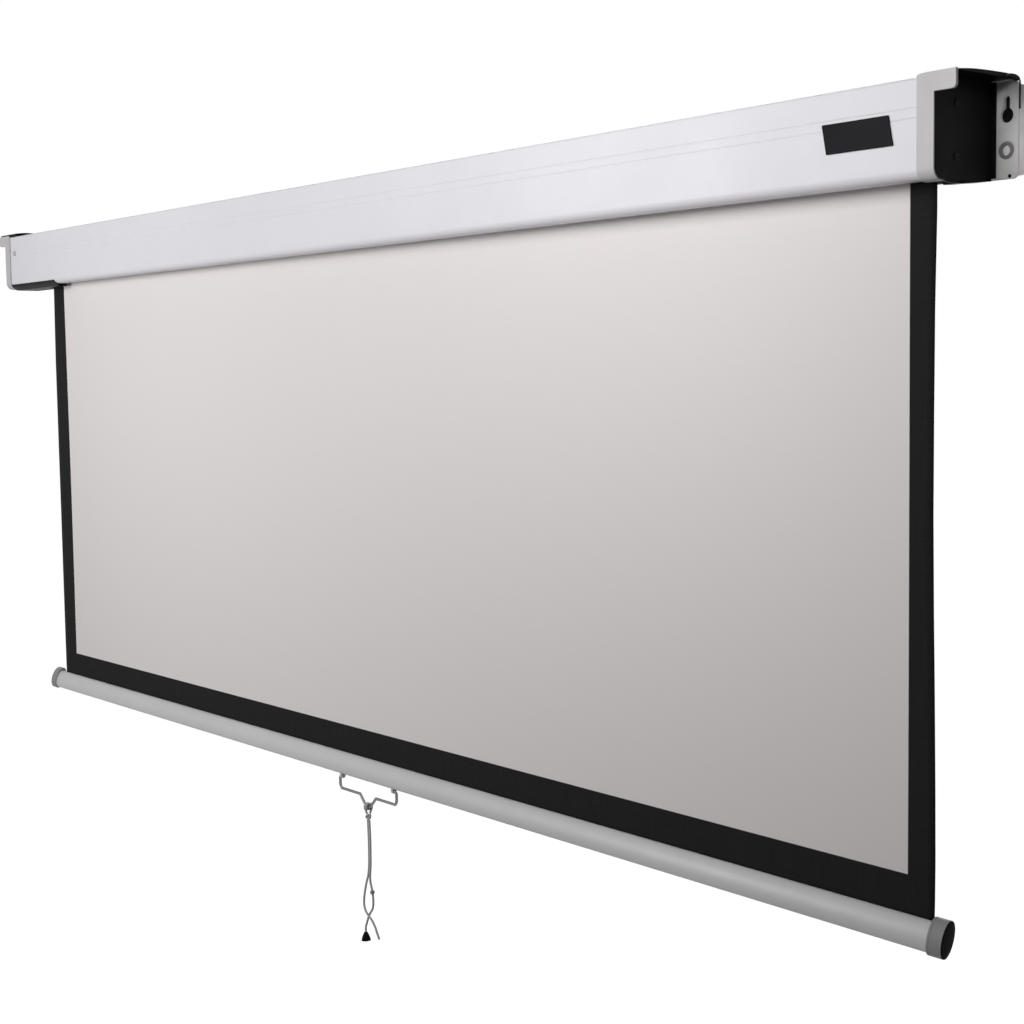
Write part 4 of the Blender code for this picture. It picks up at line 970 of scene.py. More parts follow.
@dataclass
class Studio:
    """The camera at the photograph's angle, the lamps, the floor and the white surroundings.

    Args:
        eye: the camera's place.
        forward: the direction that it looks in.
        right: the direction of its picture's right side.
        up: the direction of its picture's top.
        focal: its focal length in pixels.
        image: the picture's side in pixels.
        sensor: the sensor's width in millimetres.
        clip: the nearest and the farthest distance that it sees.
        floor_z: the floor's height.
        floor_half: half the floor's side.
        floor_colour: its matt colour.
        floor_glow: how white it looks to the camera.
        ambient: the strength of the soft grey light.
        lamp_table: rows of name, place, aim, side, power and spread.
    """

    eye: tuple[float, float, float] = (1.8761, -1.3000, -0.2068)
    forward: tuple[float, float, float] = (-0.77066, 0.63221, -0.07990)
    right: tuple[float, float, float] = (0.63508, 0.77230, -0.01468)
    up: tuple[float, float, float] = (-0.05242, 0.06206, 0.99670)
    focal: float = 1700.0
    image: float = 1024.0
    sensor: float = 36.0
    clip: tuple[float, float] = (0.01, 100.0)
    floor_z: float = -2.12
    floor_half: float = 14.0
    floor_colour: tuple[float, float, float, float] = (0.80, 0.80, 0.80, 1.0)
    floor_glow: float = 0.93
    ambient: float = 0.11
    lamp_table: tuple[tuple[str, tuple, tuple, float, float, float], ...] = (
        ("left", (-0.58, -1.50, 0.06), (-0.58, 0.0, 0.06), 0.8, 16.9, 180.0),
        ("right", (0.72, -0.90, 0.25), (0.72, 0.0, 0.25), 0.5, 5.5, 180.0),
        ("end", (1.25, -0.45, 0.15), (1.040, -0.01, 0.0), 0.08, 0.04, 15.0),
        ("back", (-0.40, 2.60, 1.10), (0.0, 0.0, -0.10), 1.6, 40.0, 180.0),
    )

    def build(self) -> None:
        """Make everything round the object."""
        self.camera()
        self.lamps()
        self.world()
        self.floor()

    def camera(self) -> None:
        """Place the camera by its eye and its three directions."""
        data = bpy.data.cameras.new("camera")
        data.sensor_width = self.sensor
        data.lens = self.focal / self.image * self.sensor
        data.clip_start, data.clip_end = self.clip
        made = bpy.data.objects.new("camera", data)
        columns = np.stack([self.right, self.up, -np.asarray(self.forward)], 1)
        matrix = np.eye(4)
        matrix[:3, :3] = columns
        matrix[:3, 3] = self.eye
        made.matrix_world = Matrix(matrix.tolist())
        bpy.context.scene.collection.objects.link(made)
        bpy.context.scene.camera = made
        bpy.context.scene.view_settings.view_transform = "Standard"

    def lamp(
        self,
        name: str,
        at: Sequence[float],
        aim: Sequence[float],
        size: float,
        power: float,
        spread: float,
    ) -> None:
        """Add one square soft lamp.

        Args:
            name: the lamp's name.
            at: where it stands.
            aim: the point that it faces.
            size: its side in metres.
            power: its power in watts.
            spread: the full angle of its beam in degrees.
        """
        data = bpy.data.lights.new(name, "AREA")
        data.size = size
        data.energy = power
        data.spread = math.radians(spread)
        made = bpy.data.objects.new(name, data)
        made.location = at
        made.rotation_euler = (Vector(aim) - Vector(at)).to_track_quat("-Z", "Y").to_euler()
        made.visible_camera = False
        bpy.context.scene.collection.objects.link(made)

    def lamps(self) -> None:
        """Two lamps in front, a narrow one for the right end and one for the back."""
        for row in self.lamp_table:
            self.lamp(*row)

    def world(self) -> None:
        """White where the camera, a gloss or a clear part looks past the object, and a soft grey light."""
        made = bpy.data.worlds.new("surroundings")
        bpy.context.scene.world = made
        made.use_nodes = True
        g = Graph(made.node_tree)
        made.node_tree.nodes.clear()
        strength = g.spread(looked_at(g), 0.0, 1.0, self.ambient, 1.0)
        light = g.add("ShaderNodeBackground", {"Color": WHITE, "Strength": strength})
        sink = made.node_tree.nodes.new("ShaderNodeOutputWorld")
        g.tree.links.new(light, sink.inputs["Surface"])

    def floor(self) -> None:
        """A pale floor that looks white to the camera and keeps the object's shadow."""
        half, z = self.floor_half, self.floor_z
        corners = [(-half, -half, z), (half, -half, z), (half, half, z), (-half, half, z)]
        mesh = bpy.data.meshes.new("floor")
        mesh.from_pydata(corners, [], [(0, 1, 2, 3)])
        material = bpy.data.materials.new("floor_pale")
        material.use_nodes = True
        g = Graph(material.node_tree)
        material.node_tree.nodes.clear()
        matt = g.add("ShaderNodeBsdfDiffuse", {"Color": self.floor_colour})
        strength = g.math("MULTIPLY", looked_at(g), self.floor_glow)
        glow = g.add("ShaderNodeEmission", {"Color": WHITE, "Strength": strength})
        both = g.add("ShaderNodeAddShader", {0: matt, 1: glow})
        sink = material.node_tree.nodes.new("ShaderNodeOutputMaterial")
        g.tree.links.new(both, sink.inputs["Surface"])
        mesh.materials.append(material)
        made = bpy.data.objects.new("floor", mesh)
        bpy.context.scene.collection.objects.link(made)


@dataclass
class PullCord:
    """The doubled cord: its turns on the wire, its knot, two tails, the black cone and the bead.

    Args:
        finishes: the screen's finishes.
        hitch_pitch: how far one turn of the hitch goes along the wire.
        hitch_turns: how many turns it has.
        strands: strands of the braid round the cord, in each direction.
        strand_pitch: the length of cord in which the strands move on by two places.
        relief: how far the strands stand out, as a share of the cord's radius.
        sunk: how far their pattern is set below that radius, in the same share.
        step: the spacing of a centreline's points.
        lead_down: the hitch's ends on their way to the knot, as shares of the turns' half width
            and radius.
        lead_in: where they enter the knot, as a share of their distance from its middle.
        knot_reach: the knot's radius at its outermost loops.
        knot_rise: half its height.
        knot_depth: its depth as a share of its width.
        knot_cord: the radius of its cord as a share of the tails'.
        knot_round: the flat length round its cord.
        knot_core: the core in its middle, as rows of (height, radius).
        cone_profile: rows of (distance past the tail's end, radius).
        bead_z: the bead's height, from the hinge of the cord.
        bead_half: half its length.
        bead_middle: the radius of its wall's middle.
        bead_wall: half its wall's thickness.
    """

    finishes: Finishes
    hitch_pitch: float = 0.0036
    hitch_turns: float = 1.5
    strands: int = 4
    strand_pitch: float = 0.0046
    relief: float = 0.09
    sunk: float = 0.35
    step: float = 0.0003
    lead_down: tuple[tuple[float, float, float], ...] = ((1.0, 0.95, -0.70), (0.7, 0.72, -1.45))
    lead_in: float = 0.6
    knot_reach: float = 0.0031
    knot_rise: float = 0.0021
    knot_depth: float = 0.9
    knot_cord: float = 0.95
    knot_round: float = 0.009
    knot_core: Line = ((-0.0020, 0.0), (-0.0012, 0.0022), (0.0012, 0.0022), (0.0020, 0.0))
    cone_profile: Line = (
        (-0.0006, 0.0), (-0.0006, 0.0019), (0.0000, 0.0024), (0.0010, 0.0029), (0.0020, 0.0034),
        (0.0030, 0.0039), (0.0055, 0.0050), (0.0080, 0.0058), (0.0086, 0.0059), (0.0088, 0.0057),
        (0.0091, 0.0057), (0.0093, 0.0061), (0.0101, 0.0063), (0.0108, 0.0061), (0.0110, 0.0054),
        (0.0102, 0.0048), (0.0100, 0.0),
    )
    bead_z: float = -0.1135
    bead_half: float = 0.0022
    bead_middle: float = 0.00235
    bead_wall: float = 0.0007

    def origin(self) -> Array:
        """The hinge of the cord, at the lowest point of the bail."""
        return np.array([BAIL_X, BAIL_Y, HITCH_Z])

    def braided(self, path: Array, keel: Sequence[float], sides: int = 28) -> Shell:
        """A cord whose surface rises and falls with crossing strands.

        The radius is R (1 + relief (w / 2 - sunk)), with w the larger of the two waves
        cos(strands a + k s) and cos(strands a - k s) of the angle a round the cord and the
        distance s along it, where k is 4 pi over the pitch.

        Args:
            path: the centreline's points.
            keel: a direction that the path never runs along.
            sides: how many points go round.

        Returns:
            A shell with the cord in it.
        """
        run = run_of(path)
        angle = np.arange(sides) * math.tau / sides
        phase = math.tau * run[:, None] / self.strand_pitch * 2
        wave = np.maximum(np.cos(self.strands * angle + phase), np.cos(self.strands * angle - phase))
        radius = CORD_R * (1 + self.relief * (0.5 * wave - self.sunk))
        round_it = np.linspace(0, math.tau * CORD_R, sides + 1)
        marks = np.stack(np.broadcast_arrays(round_it[None], run[:, None]), -1)
        return Shell().grid(tube(path, radius, sides, keel), marks=marks)

    def tail(self, side: int, route: Sequence[Sequence[float]]) -> Array:
        """The centreline of one tail.

        Args:
            side: -1 for the left tail and 1 for the right one.
            route: its points, from the hinge of the cord.

        Returns:
            Points in the row frame.
        """
        start = (side * (CORD_R + GAP / 2), 0.0, -KNOT_DROP - KNOT_R - GAP)
        rest = np.asarray(route) * (1, side, 1)
        return smooth_line(np.concatenate([[start], rest]), self.step) + self.origin()

    def hitch(self) -> Object:
        """The turns round the wire, with both ends led down to the knot.

        The turns are a helix about the wire, from below it round to above it, and the leads are
        the same on both sides, half a turn about the cord's upright line apart.

        Returns:
            The hitch.
        """
        ring = WIRE_R + CORD_R + GAP
        turn = np.linspace(0, self.hitch_turns, 40)
        angle = math.tau * turn - math.pi / 2
        x = self.hitch_pitch * (turn - self.hitch_turns / 2)
        coil = np.stack([x, ring * np.sin(angle), ring * np.cos(angle)], 1)
        side = x[-1]
        top = KNOT_R - KNOT_DROP
        beside = CORD_R + GAP
        lead = np.array(self.lead_down) * (side, ring, ring)
        down = np.concatenate([lead, [(beside * self.lead_in, beside, top + GAP)]])
        up = (down * (-1, -1, 1))[::-1]
        path = smooth_line(np.concatenate([up, coil, down]), self.step) + self.origin()
        return self.braided(path, (1.0, 0.0, 0.0)).build("cord_hitch_turns", self.finishes.cord)

    def knot(self) -> Object:
        """The knot: a cord that winds three times through itself on a small ring.

        At angle a the centreline stands at radius reach (2 + cos 3a) / 3 in the direction 2a, and
        at the height rise sin 3a, with its depth a little flattened. A small core closes its middle.

        Returns:
            The knot.
        """
        a = np.linspace(0, math.tau, 260)
        swing = self.knot_reach * (2 + np.cos(3 * a)) / 3
        across, deep = swing * np.cos(2 * a), self.knot_depth * swing * np.sin(2 * a)
        line = np.stack([across, deep, self.knot_rise * np.sin(3 * a)], 1)
        line += self.origin() + (0.0, 0.0, -KNOT_DROP)
        knot = tube(line[:-1], CORD_R * self.knot_cord, 20, (0.0, 0.0, 1.0))
        round_it = np.linspace(0, self.knot_round, 21)
        marks = np.stack(np.broadcast_arrays(round_it[None], run_of(line[:-1])[:, None]), -1)
        shell = Shell().grid(knot, marks=marks)
        core = turned(self.knot_core, line.mean(0), (0, 0, 1), 20)
        return shell.grid(core, caps=False).build("cord_knot_turns", self.finishes.cord)

    def cone(self, path: Array) -> Object:
        """The black cone on the end of the right tail: a profile turned about the cord's last stretch.

        Args:
            path: the tail's centreline.

        Returns:
            The cone, with a collar, a waist line and a hollow foot.
        """
        along = unit(path[-1] - path[-12])
        points = turned(self.cone_profile, path[-1], along, 40)
        return Shell().grid(points, caps=False).build("cord_cone_pull", self.finishes.black, sharp=30)

    def bead(self, path: Array) -> Object:
        """The small bead that the right tail passes through: an ellipse turned about the cord.

        Args:
            path: the tail's centreline.

        Returns:
            The bead.
        """
        at = int(np.argmin(np.abs(path[:, 2] - HITCH_Z - self.bead_z)))
        along = unit(path[at + 4] - path[at - 4])
        t = np.linspace(0, math.tau, 25)
        profile = np.stack([self.bead_half * np.cos(t), self.bead_middle + self.bead_wall * np.sin(t)], 1)
        points = turned(profile, path[at], along, 32)
        return Shell().grid(points, caps=False).build("cord_bead_ring", self.finishes.collar)

    def build(self) -> None:
        """Make the cord and put its pieces on its body."""
        hitch = place(self.hitch(), Body.CORD, "cord_grey", "cord_hitch")
        knot = place(self.knot(), Body.CORD, "cord_grey", "cord_knot")
        left_path = self.tail(-1, LEFT_TAIL)
        right_path = self.tail(1, RIGHT_TAIL)
        left = self.braided(left_path, (0.0, 1.0, 0.0)).build("cord_left_tail", self.finishes.cord)
        right = self.braided(right_path, (0.0, 1.0, 0.0)).build("cord_right_tail", self.finishes.cord)
        place(left, Body.CORD, "cord_grey", "cord_tail_left")
        place(right, Body.CORD, "cord_grey", "cord_tail_right")
        cone = place(self.cone(right_path), Body.CORD, "end_black", "cord_cone")
        bead = place(self.bead(right_path), Body.CORD, "collar_grey", "cord_bead")


@dataclass
class Case:
    """The white case with its badge and screw, the black covers and the closer under the slot.

    Outlines are rows of (y, z).

    Args:
        finishes: the screen's finishes.
        wall: the sheet's thickness.
        shell_end: half the sheet's length.
        corner: the radius of its folds.
        bend_r: the radius of the bend where its underside starts to rise.
        slot_front: the slot's front edge, as y.
        slot_rear: the slot's rear edge, as y.
        hem: the height of the lips that are turned up beside the slot.
        groove_z: the heights of the pressed grooves.
        groove_depth: their depth.
        groove_half: about half their width.
        groove_span: the heights between which their curve is drawn.
        rear_slope: how far before the back the underside starts to rise, and how far it rises.
        badge_lean: how far the badge's sides lean.
        badge_corner: the radius of its corners.
        badge_rim: rows of (distance inwards, depth behind the front) over its rim.
        front_head: the front screw's radius, height, shank radius and shank length.
        side_head: the same of the side screws.
        cross_arm: half the width of a cross recess's arms, as a share of the head's radius.
        cross_reach: the length over which they end, in the same share.
        cross_depth: the depth of the recess as a share of the head's height.
        left_lap: how far the left cover's roof laps over the case.
        left_rise: how much higher its front is than on the right.
        crown: the roof's upper line.
        crown_share: the share of the rise that each of its points takes, as (nought, share).
        rear_arc: the middle and the half axes of the arc that ends the roof behind.
        roof_foot: the roof's lower line.
        panel_front: the panel's corners in front of the belly.
        belly: the lower edge that the panel shares with the return under the case.
        panel_rear: the panel's corners behind it.
        lip_out: where the lip on the flange ends, as x.
        lip_low: the lip's foot.
        ear_in: the ear's inner face, as x.
        ear_out: the outer face of the ear and the blade, as x.
        ear_front: the ear's outline in front of its arc.
        ear_arc: the middle and the half axes of that arc.
        ear_back: the ear's outline behind it.
        blade_low: the blade's foot.
        blade_top: its top.
        blade_thick: its thickness.
        under_in: where the return under the case starts, as x.
        under_front: its corners in front of the belly.
        under_rear: its corners behind it.
        closer_thick: the thickness of the closer.
        closer_run: where its front part ends on the right, as x.
        closer_rear: how far back that part goes, as y.
    """

    finishes: Finishes
    wall: float = 0.0010
    shell_end: float = 0.9679
    corner: float = 0.003
    bend_r: float = 0.0015
    slot_front: float = -0.068
    slot_rear: float = -0.038
    hem: float = 0.0055
    groove_z: tuple[float, float] = (0.0174, 0.0087)
    groove_depth: float = 0.00045
    groove_half: float = 0.0011
    groove_span: tuple[float, float] = (0.0230, 0.0030)
    rear_slope: tuple[float, float] = (0.0355, 0.0048)
    badge_lean: float = 0.0052
    badge_corner: float = 0.0009
    badge_rim: Line = (
        (0.0, 0.0003), (0.0001, 0.0001), (0.0002, 0.0), (0.0005, 0.0), (0.0006, 0.0002), (0.0007, 0.0002),
    )
    front_head: tuple[float, float, float, float] = (0.0045, 0.0018, 0.0, 0.0001)
    side_head: tuple[float, float, float, float] = (0.0034, 0.0016, 0.0014, 0.0055)
    cross_arm: float = 0.10
    cross_reach: float = 0.20
    cross_depth: float = 0.62
    left_lap: float = 0.0425
    left_rise: float = 0.0034
    crown: Line = (
        (-0.0852, 0.0450), (-0.0679, 0.0466), (-0.0479, 0.0474), (-0.0261, 0.0477), (-0.0112, 0.0477),
    )
    crown_share: Line = ((0.0, 1.0), (0.0, 1.0), (0.0, 0.5), (0.0, 0.0), (0.0, 0.0))
    rear_arc: Line = ((-0.0112, 0.0440), (0.0104, 0.0037))
    roof_foot: Line = ((-0.0008, 0.0438), (-0.0852, 0.0438))
    panel_front: Line = (
        (CASE_FRONT, CASE_TOP), (CASE_FRONT, -0.0440), (-0.0640, -0.0467), (-0.0500, -0.0464),
    )
    belly: Line = ((-0.0400, -0.0455), (-0.0287, -0.0442), (-0.0165, -0.0430), (-0.0056, -0.0420))
    panel_rear: Line = ((-0.0056, 0.0440), (-0.0855, 0.0440))
    lip_out: float = 0.9775
    lip_low: float = -0.0400
    ear_in: float = 0.9955
    ear_out: float = 1.0004
    ear_front: Line = ((-0.0230, 0.0442), (-0.0215, 0.0455), (-0.0190, 0.0467))
    ear_arc: Line = ((-0.0144, 0.0428), (0.0102, 0.0041))
    ear_back: Line = ((-0.0042, 0.0422), (-0.0050, 0.0420), (-0.0150, 0.0434))
    blade_low: float = 0.0180
    blade_top: float = 0.0424
    blade_thick: float = 0.0009
    under_in: float = 0.9560
    under_front: Line = ((-0.0530, -0.0439), (-0.0530, -0.0464))
    under_rear: Line = ((-0.0056, -0.0402), (-0.0350, -0.0439))
    closer_thick: float = 0.0012
    closer_run: float = -0.7850
    closer_rear: float = -0.0650

    def folded(self) -> Array:
        """The folded sheet in section, from the slot's rear lip over the top to its front lip.

        Two grooves are pressed into the face, each a bell curve
        depth exp(-2.2 ((z - middle) / half)^2) that moves the face inwards.

        Returns:
            Points as (y, z).
        """
        low, top, face = CASE_BOTTOM, CASE_TOP, CASE_FRONT
        slot_r, slot_f = self.slot_rear - self.wall, self.slot_front
        bend, heel = (-self.rear_slope[0], low), (0.0, low + self.rear_slope[1])
        corners = [(slot_r, low + self.hem), (slot_r, low), bend, heel, (0.0, top), (face, top), (face, 0.03)]
        radii = (0.0006, self.bend_r, self.corner, self.corner, self.corner)
        back = rounded(corners, radii, 8, closed=False)
        z = np.linspace(*self.groove_span, 81)
        dips = sum(np.exp(-(((z - g) / self.groove_half) ** 2) * 2.2) for g in self.groove_z)
        grooves = np.stack([face + self.groove_depth * dips, z], 1)
        front = rounded([(face, 0.0), (face, low), (slot_f, low), (slot_f, low + self.hem)],
                        (LIP_R, 0.0009), 12, closed=False)
        return np.concatenate([back[:-1], grooves, front[1:]])

    def shell(self) -> Object:
        """The case: the section moved inwards by the sheet's thickness joins the section itself.

        Returns:
            The folded sheet, carried along X.
        """
        outer = self.folded()
        along = unit(np.gradient(outer, axis=0))
        inner = outer + self.wall * np.stack([-along[:, 1], along[:, 0]], 1)
        ring = np.concatenate([outer, inner[::-1]])
        x = np.linspace(-self.shell_end, self.shell_end, 9)
        points = laid(np.broadcast_to(ring, (len(x), *ring.shape)), x, 0)
        return Shell().grid(points).build("case_folded_sheet", self.finishes.case, sharp=42)

    def badge(self) -> Object:
        """A blank plate with a fine raised rim.

        Its rows are the outline moved inwards along its mitres by a small amount at each depth.

        Returns:
            The plate.
        """
        low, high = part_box("badge")
        lean = self.badge_lean
        corners = np.array([(low.x, high.z), (high.x - lean, high.z), (high.x, low.z), (low.x + lean, low.z)])
        outline = rounded(corners, self.badge_corner, 5)
        moves, behind = np.transpose(self.badge_rim)
        moves = np.array([0.0, *moves])
        depths = np.array([high.y, *(low.y + behind)])
        rows = outline[None] + moves[:, None, None] * mitres(outline)[None]
        shell = Shell().grid(laid(rows, depths, 1))
        return shell.build("badge_plate", self.finishes.badge, sharp=30, level=True)

    def screw_head(
        self,
        name: str,
        at: Sequence[float],
        axis: Sequence[float],
        sizes: Sequence[float],
        material: Material,
    ) -> Object:
        """A pan head with a cross recess, and its shank.

        On a grid of radius and angle the head's height is h (1 - (r / R)^4) to the power 1/2 and,
        inside the cross, it sinks by a share of h that fades towards the ends of the cross.

        Args:
            name: the object's name.
            at: the middle of the head's underside.
            axis: the direction that the head faces.
            sizes: the head's radius and height, the shank's radius, or nought for none, and its length.
            material: its finish.

        Returns:
            The screw.
        """
        radius, height, shank, length = sizes
        shank = max(shank, 0.0002)
        r = radius * np.sin(np.linspace(0, math.pi / 2, 22))[::-1]
        angle = np.arange(72) * math.tau / 72
        rr, aa = np.meshgrid(r, angle, indexing="ij")
        dome = height * np.sqrt(np.clip(1 - (rr / radius) ** 4, 0, 1))
        u, v = np.abs(rr * np.cos(aa)), np.abs(rr * np.sin(aa))
        arm = np.clip(1.5 - np.minimum(u, v) / (radius * self.cross_arm), 0, 1)
        slot = arm * np.clip(3.2 - np.maximum(u, v) / (radius * self.cross_reach), 0, 1)
        depth = dome - slot * height * self.cross_depth
        along = unit(np.asarray(axis, float))
        side = unit(np.cross(along, np.eye(3)[np.argmin(np.abs(along))]))
        other = np.cross(along, side)
        points = np.asarray(at) + depth[..., None] * along
        points = points + rr[..., None] * (np.cos(aa)[..., None] * side + np.sin(aa)[..., None] * other)
        under = turned([(-length, 0.0), (-length, shank), (0.0, shank), (0.0, radius)], at, axis, 72)
        shell = Shell().grid(points, caps=False).grid(under, caps=False)
        return shell.build(name, material, sharp=50)

    def arc(self, centre: Sequence[float], half: Sequence[float]) -> Array:
        """A quarter of an ellipse as (y, z), centre + (half y sin t, half z cos t), from its top to its rear.

        Args:
            centre: the ellipse's middle.
            half: its half axes.

        Returns:
            Ten points.
        """
        t = np.linspace(0, math.pi / 2, 10)
        return np.stack([centre[0] + half[0] * np.sin(t), centre[1] + half[1] * np.cos(t)], 1)

    def roof(self, rise: float) -> Array:
        """The roof in section: a smooth curve through the crown's heights, and a rear arc.

        Args:
            rise: how much higher the crown's front is than on the solid.

        Returns:
            A closed outline as (y, z).
        """
        points = np.array(self.crown) + rise * np.array(self.crown_share)
        crown = smooth_line(np.insert(points, 0, 0.0, axis=1), 0.002)[:, 1:]
        return np.concatenate([crown[:-1], self.arc(*self.rear_arc), self.roof_foot])

    def cover(self, end: End) -> Object:
        """A black side cover: the panel over the case's end and all that is moulded with it.

        The roof stands over the panel, a lip lies on the flange, an ear and a blade close the
        outer rear corner, and a return runs back under the case. Each is an outline carried
        through its thickness.

        Args:
            end: which end of the case.

        Returns:
            The cover.
        """
        side = end.value
        left = end is End.LEFT
        lap = self.left_lap if left else CASE_HALF - COVER_IN
        ear = np.concatenate([self.ear_front, self.arc(*self.ear_arc), self.ear_back])
        panel = rounded(self.panel_front + self.belly + self.panel_rear,
                        (0.0006, LIP_R, 0.03, 0.02, 0.02, 0.02, 0.02, 0.0006, 0.0006, 0.0006), 8)
        near, far, low, top = side * COVER_IN, side * self.lip_out, self.lip_low, CASE_TOP
        lip = rounded([(near, low), (far, low), (far, top), (near, top)], 0.0005, 3)
        near, far = side * (self.ear_out - self.blade_thick), side * self.ear_out
        low, top = self.blade_low, self.blade_top
        blade = rounded([(far, top), (far, low), (near, low), (near, top)], 0.0002, 2)
        under = rounded(self.under_front + self.belly + self.under_rear,
                        (0.0003, 0.0004, 0.02, 0.02, 0.02, 0.0003, 0.0003, 0.003), 4)
        roof = self.roof(self.left_rise if left else 0.0)
        shell = Shell()
        for outline, axis, span, edge, steps in (
            (roof, 0, (side * (CASE_HALF - lap), side * ROOF_OUT), 0.0004, 4),
            (panel, 0, (side * COVER_IN, side * CASE_HALF), 0.0005, 3),
            (lip, 1, (FLANGE_FACE - 0.0015, FLANGE_FACE - GAP), 0.0004, 3),
            (ear, 0, (side * self.ear_in, side * self.ear_out), 0.0003, 2),
            (blade, 1, (FLANGE_FACE + 0.0003, FLANGE_FACE + 0.0018), 0.0001, 2),
            (under, 0, (side * self.under_in, side * CASE_HALF), 0.0002, 2),
        ):
            shell.grid(slab(outline, axis, *sorted(span), edge, steps))
        return shell.build("cover_black_" + end.letter, self.finishes.cover, sharp=30, level=True)

    def closer(self) -> Object:
        """The black strip under the case, left of the fabric, that wraps the lip.

        Its section is two arcs about the lip's centre with a flat foot between them. In front of
        the fabric the same section, cut short behind, runs on to the right.

        Returns:
            The strip.
        """
        low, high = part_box("slot_closer")
        centre = np.array([CASE_FRONT + LIP_R, CASE_BOTTOM + LIP_R])
        wrap = np.radians(np.linspace(200, 235, 9))
        outer = centre + (LIP_R + GAP + self.closer_thick) * np.stack([np.cos(wrap), np.sin(wrap)], 1)
        back = np.radians(np.linspace(270, 200, 13))
        inner = centre + (LIP_R + GAP) * np.stack([np.cos(back), np.sin(back)], 1)
        shell = Shell()
        for rear, start, stop in (
            (high.y, low.x, high.x),
            (self.closer_rear, high.x - 0.0010, self.closer_run),
        ):
            corners = [outer[-1], (centre[0], low.z), (rear, low.z), (rear, CASE_BOTTOM - GAP)]
            foot = rounded(corners, (0.004, 0.0008), 6, closed=False)
            outline = np.concatenate([outer, foot[1:], inner])
            shell.grid(slab(outline, 0, start, stop, 0.0002, 2))
        return shell.build("slot_closer_strip", self.finishes.cover, sharp=30, level=True)

    def build(self) -> None:
        """Make the case's pieces and put them on the case."""
        place(self.shell(), Body.CASE, "case_white", "case_shell")
        place(self.badge(), Body.CASE, "badge_black", "badge")
        place(self.closer(), Body.CASE, "cover_black", "slot_closer")
        low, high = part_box("front_screw")
        at = ((low.x + high.x) / 2, high.y, (low.z + high.z) / 2)
        head = self.screw_head("front_screw_head", at, (0, -1, 0), self.front_head, self.finishes.cap)
        place(head, Body.CASE, "cap_silver", "front_screw")
        for end in End:
            place(self.cover(end), Body.CASE, "cover_black", "side_cover_" + end.letter)
            for word in ("upper", "lower"):
                node = "side_screw_" + end.letter + "_" + word
                low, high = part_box(node)
                at = (end.value * (CASE_HALF + GAP), (low.y + high.y) / 2, (low.z + high.z) / 2)
                axis = (end.value, 0, 0)
                screw = self.screw_head(node + "_head", at, axis, self.side_head, self.finishes.screw)
                place(screw, Body.CASE, "screw_black", node)


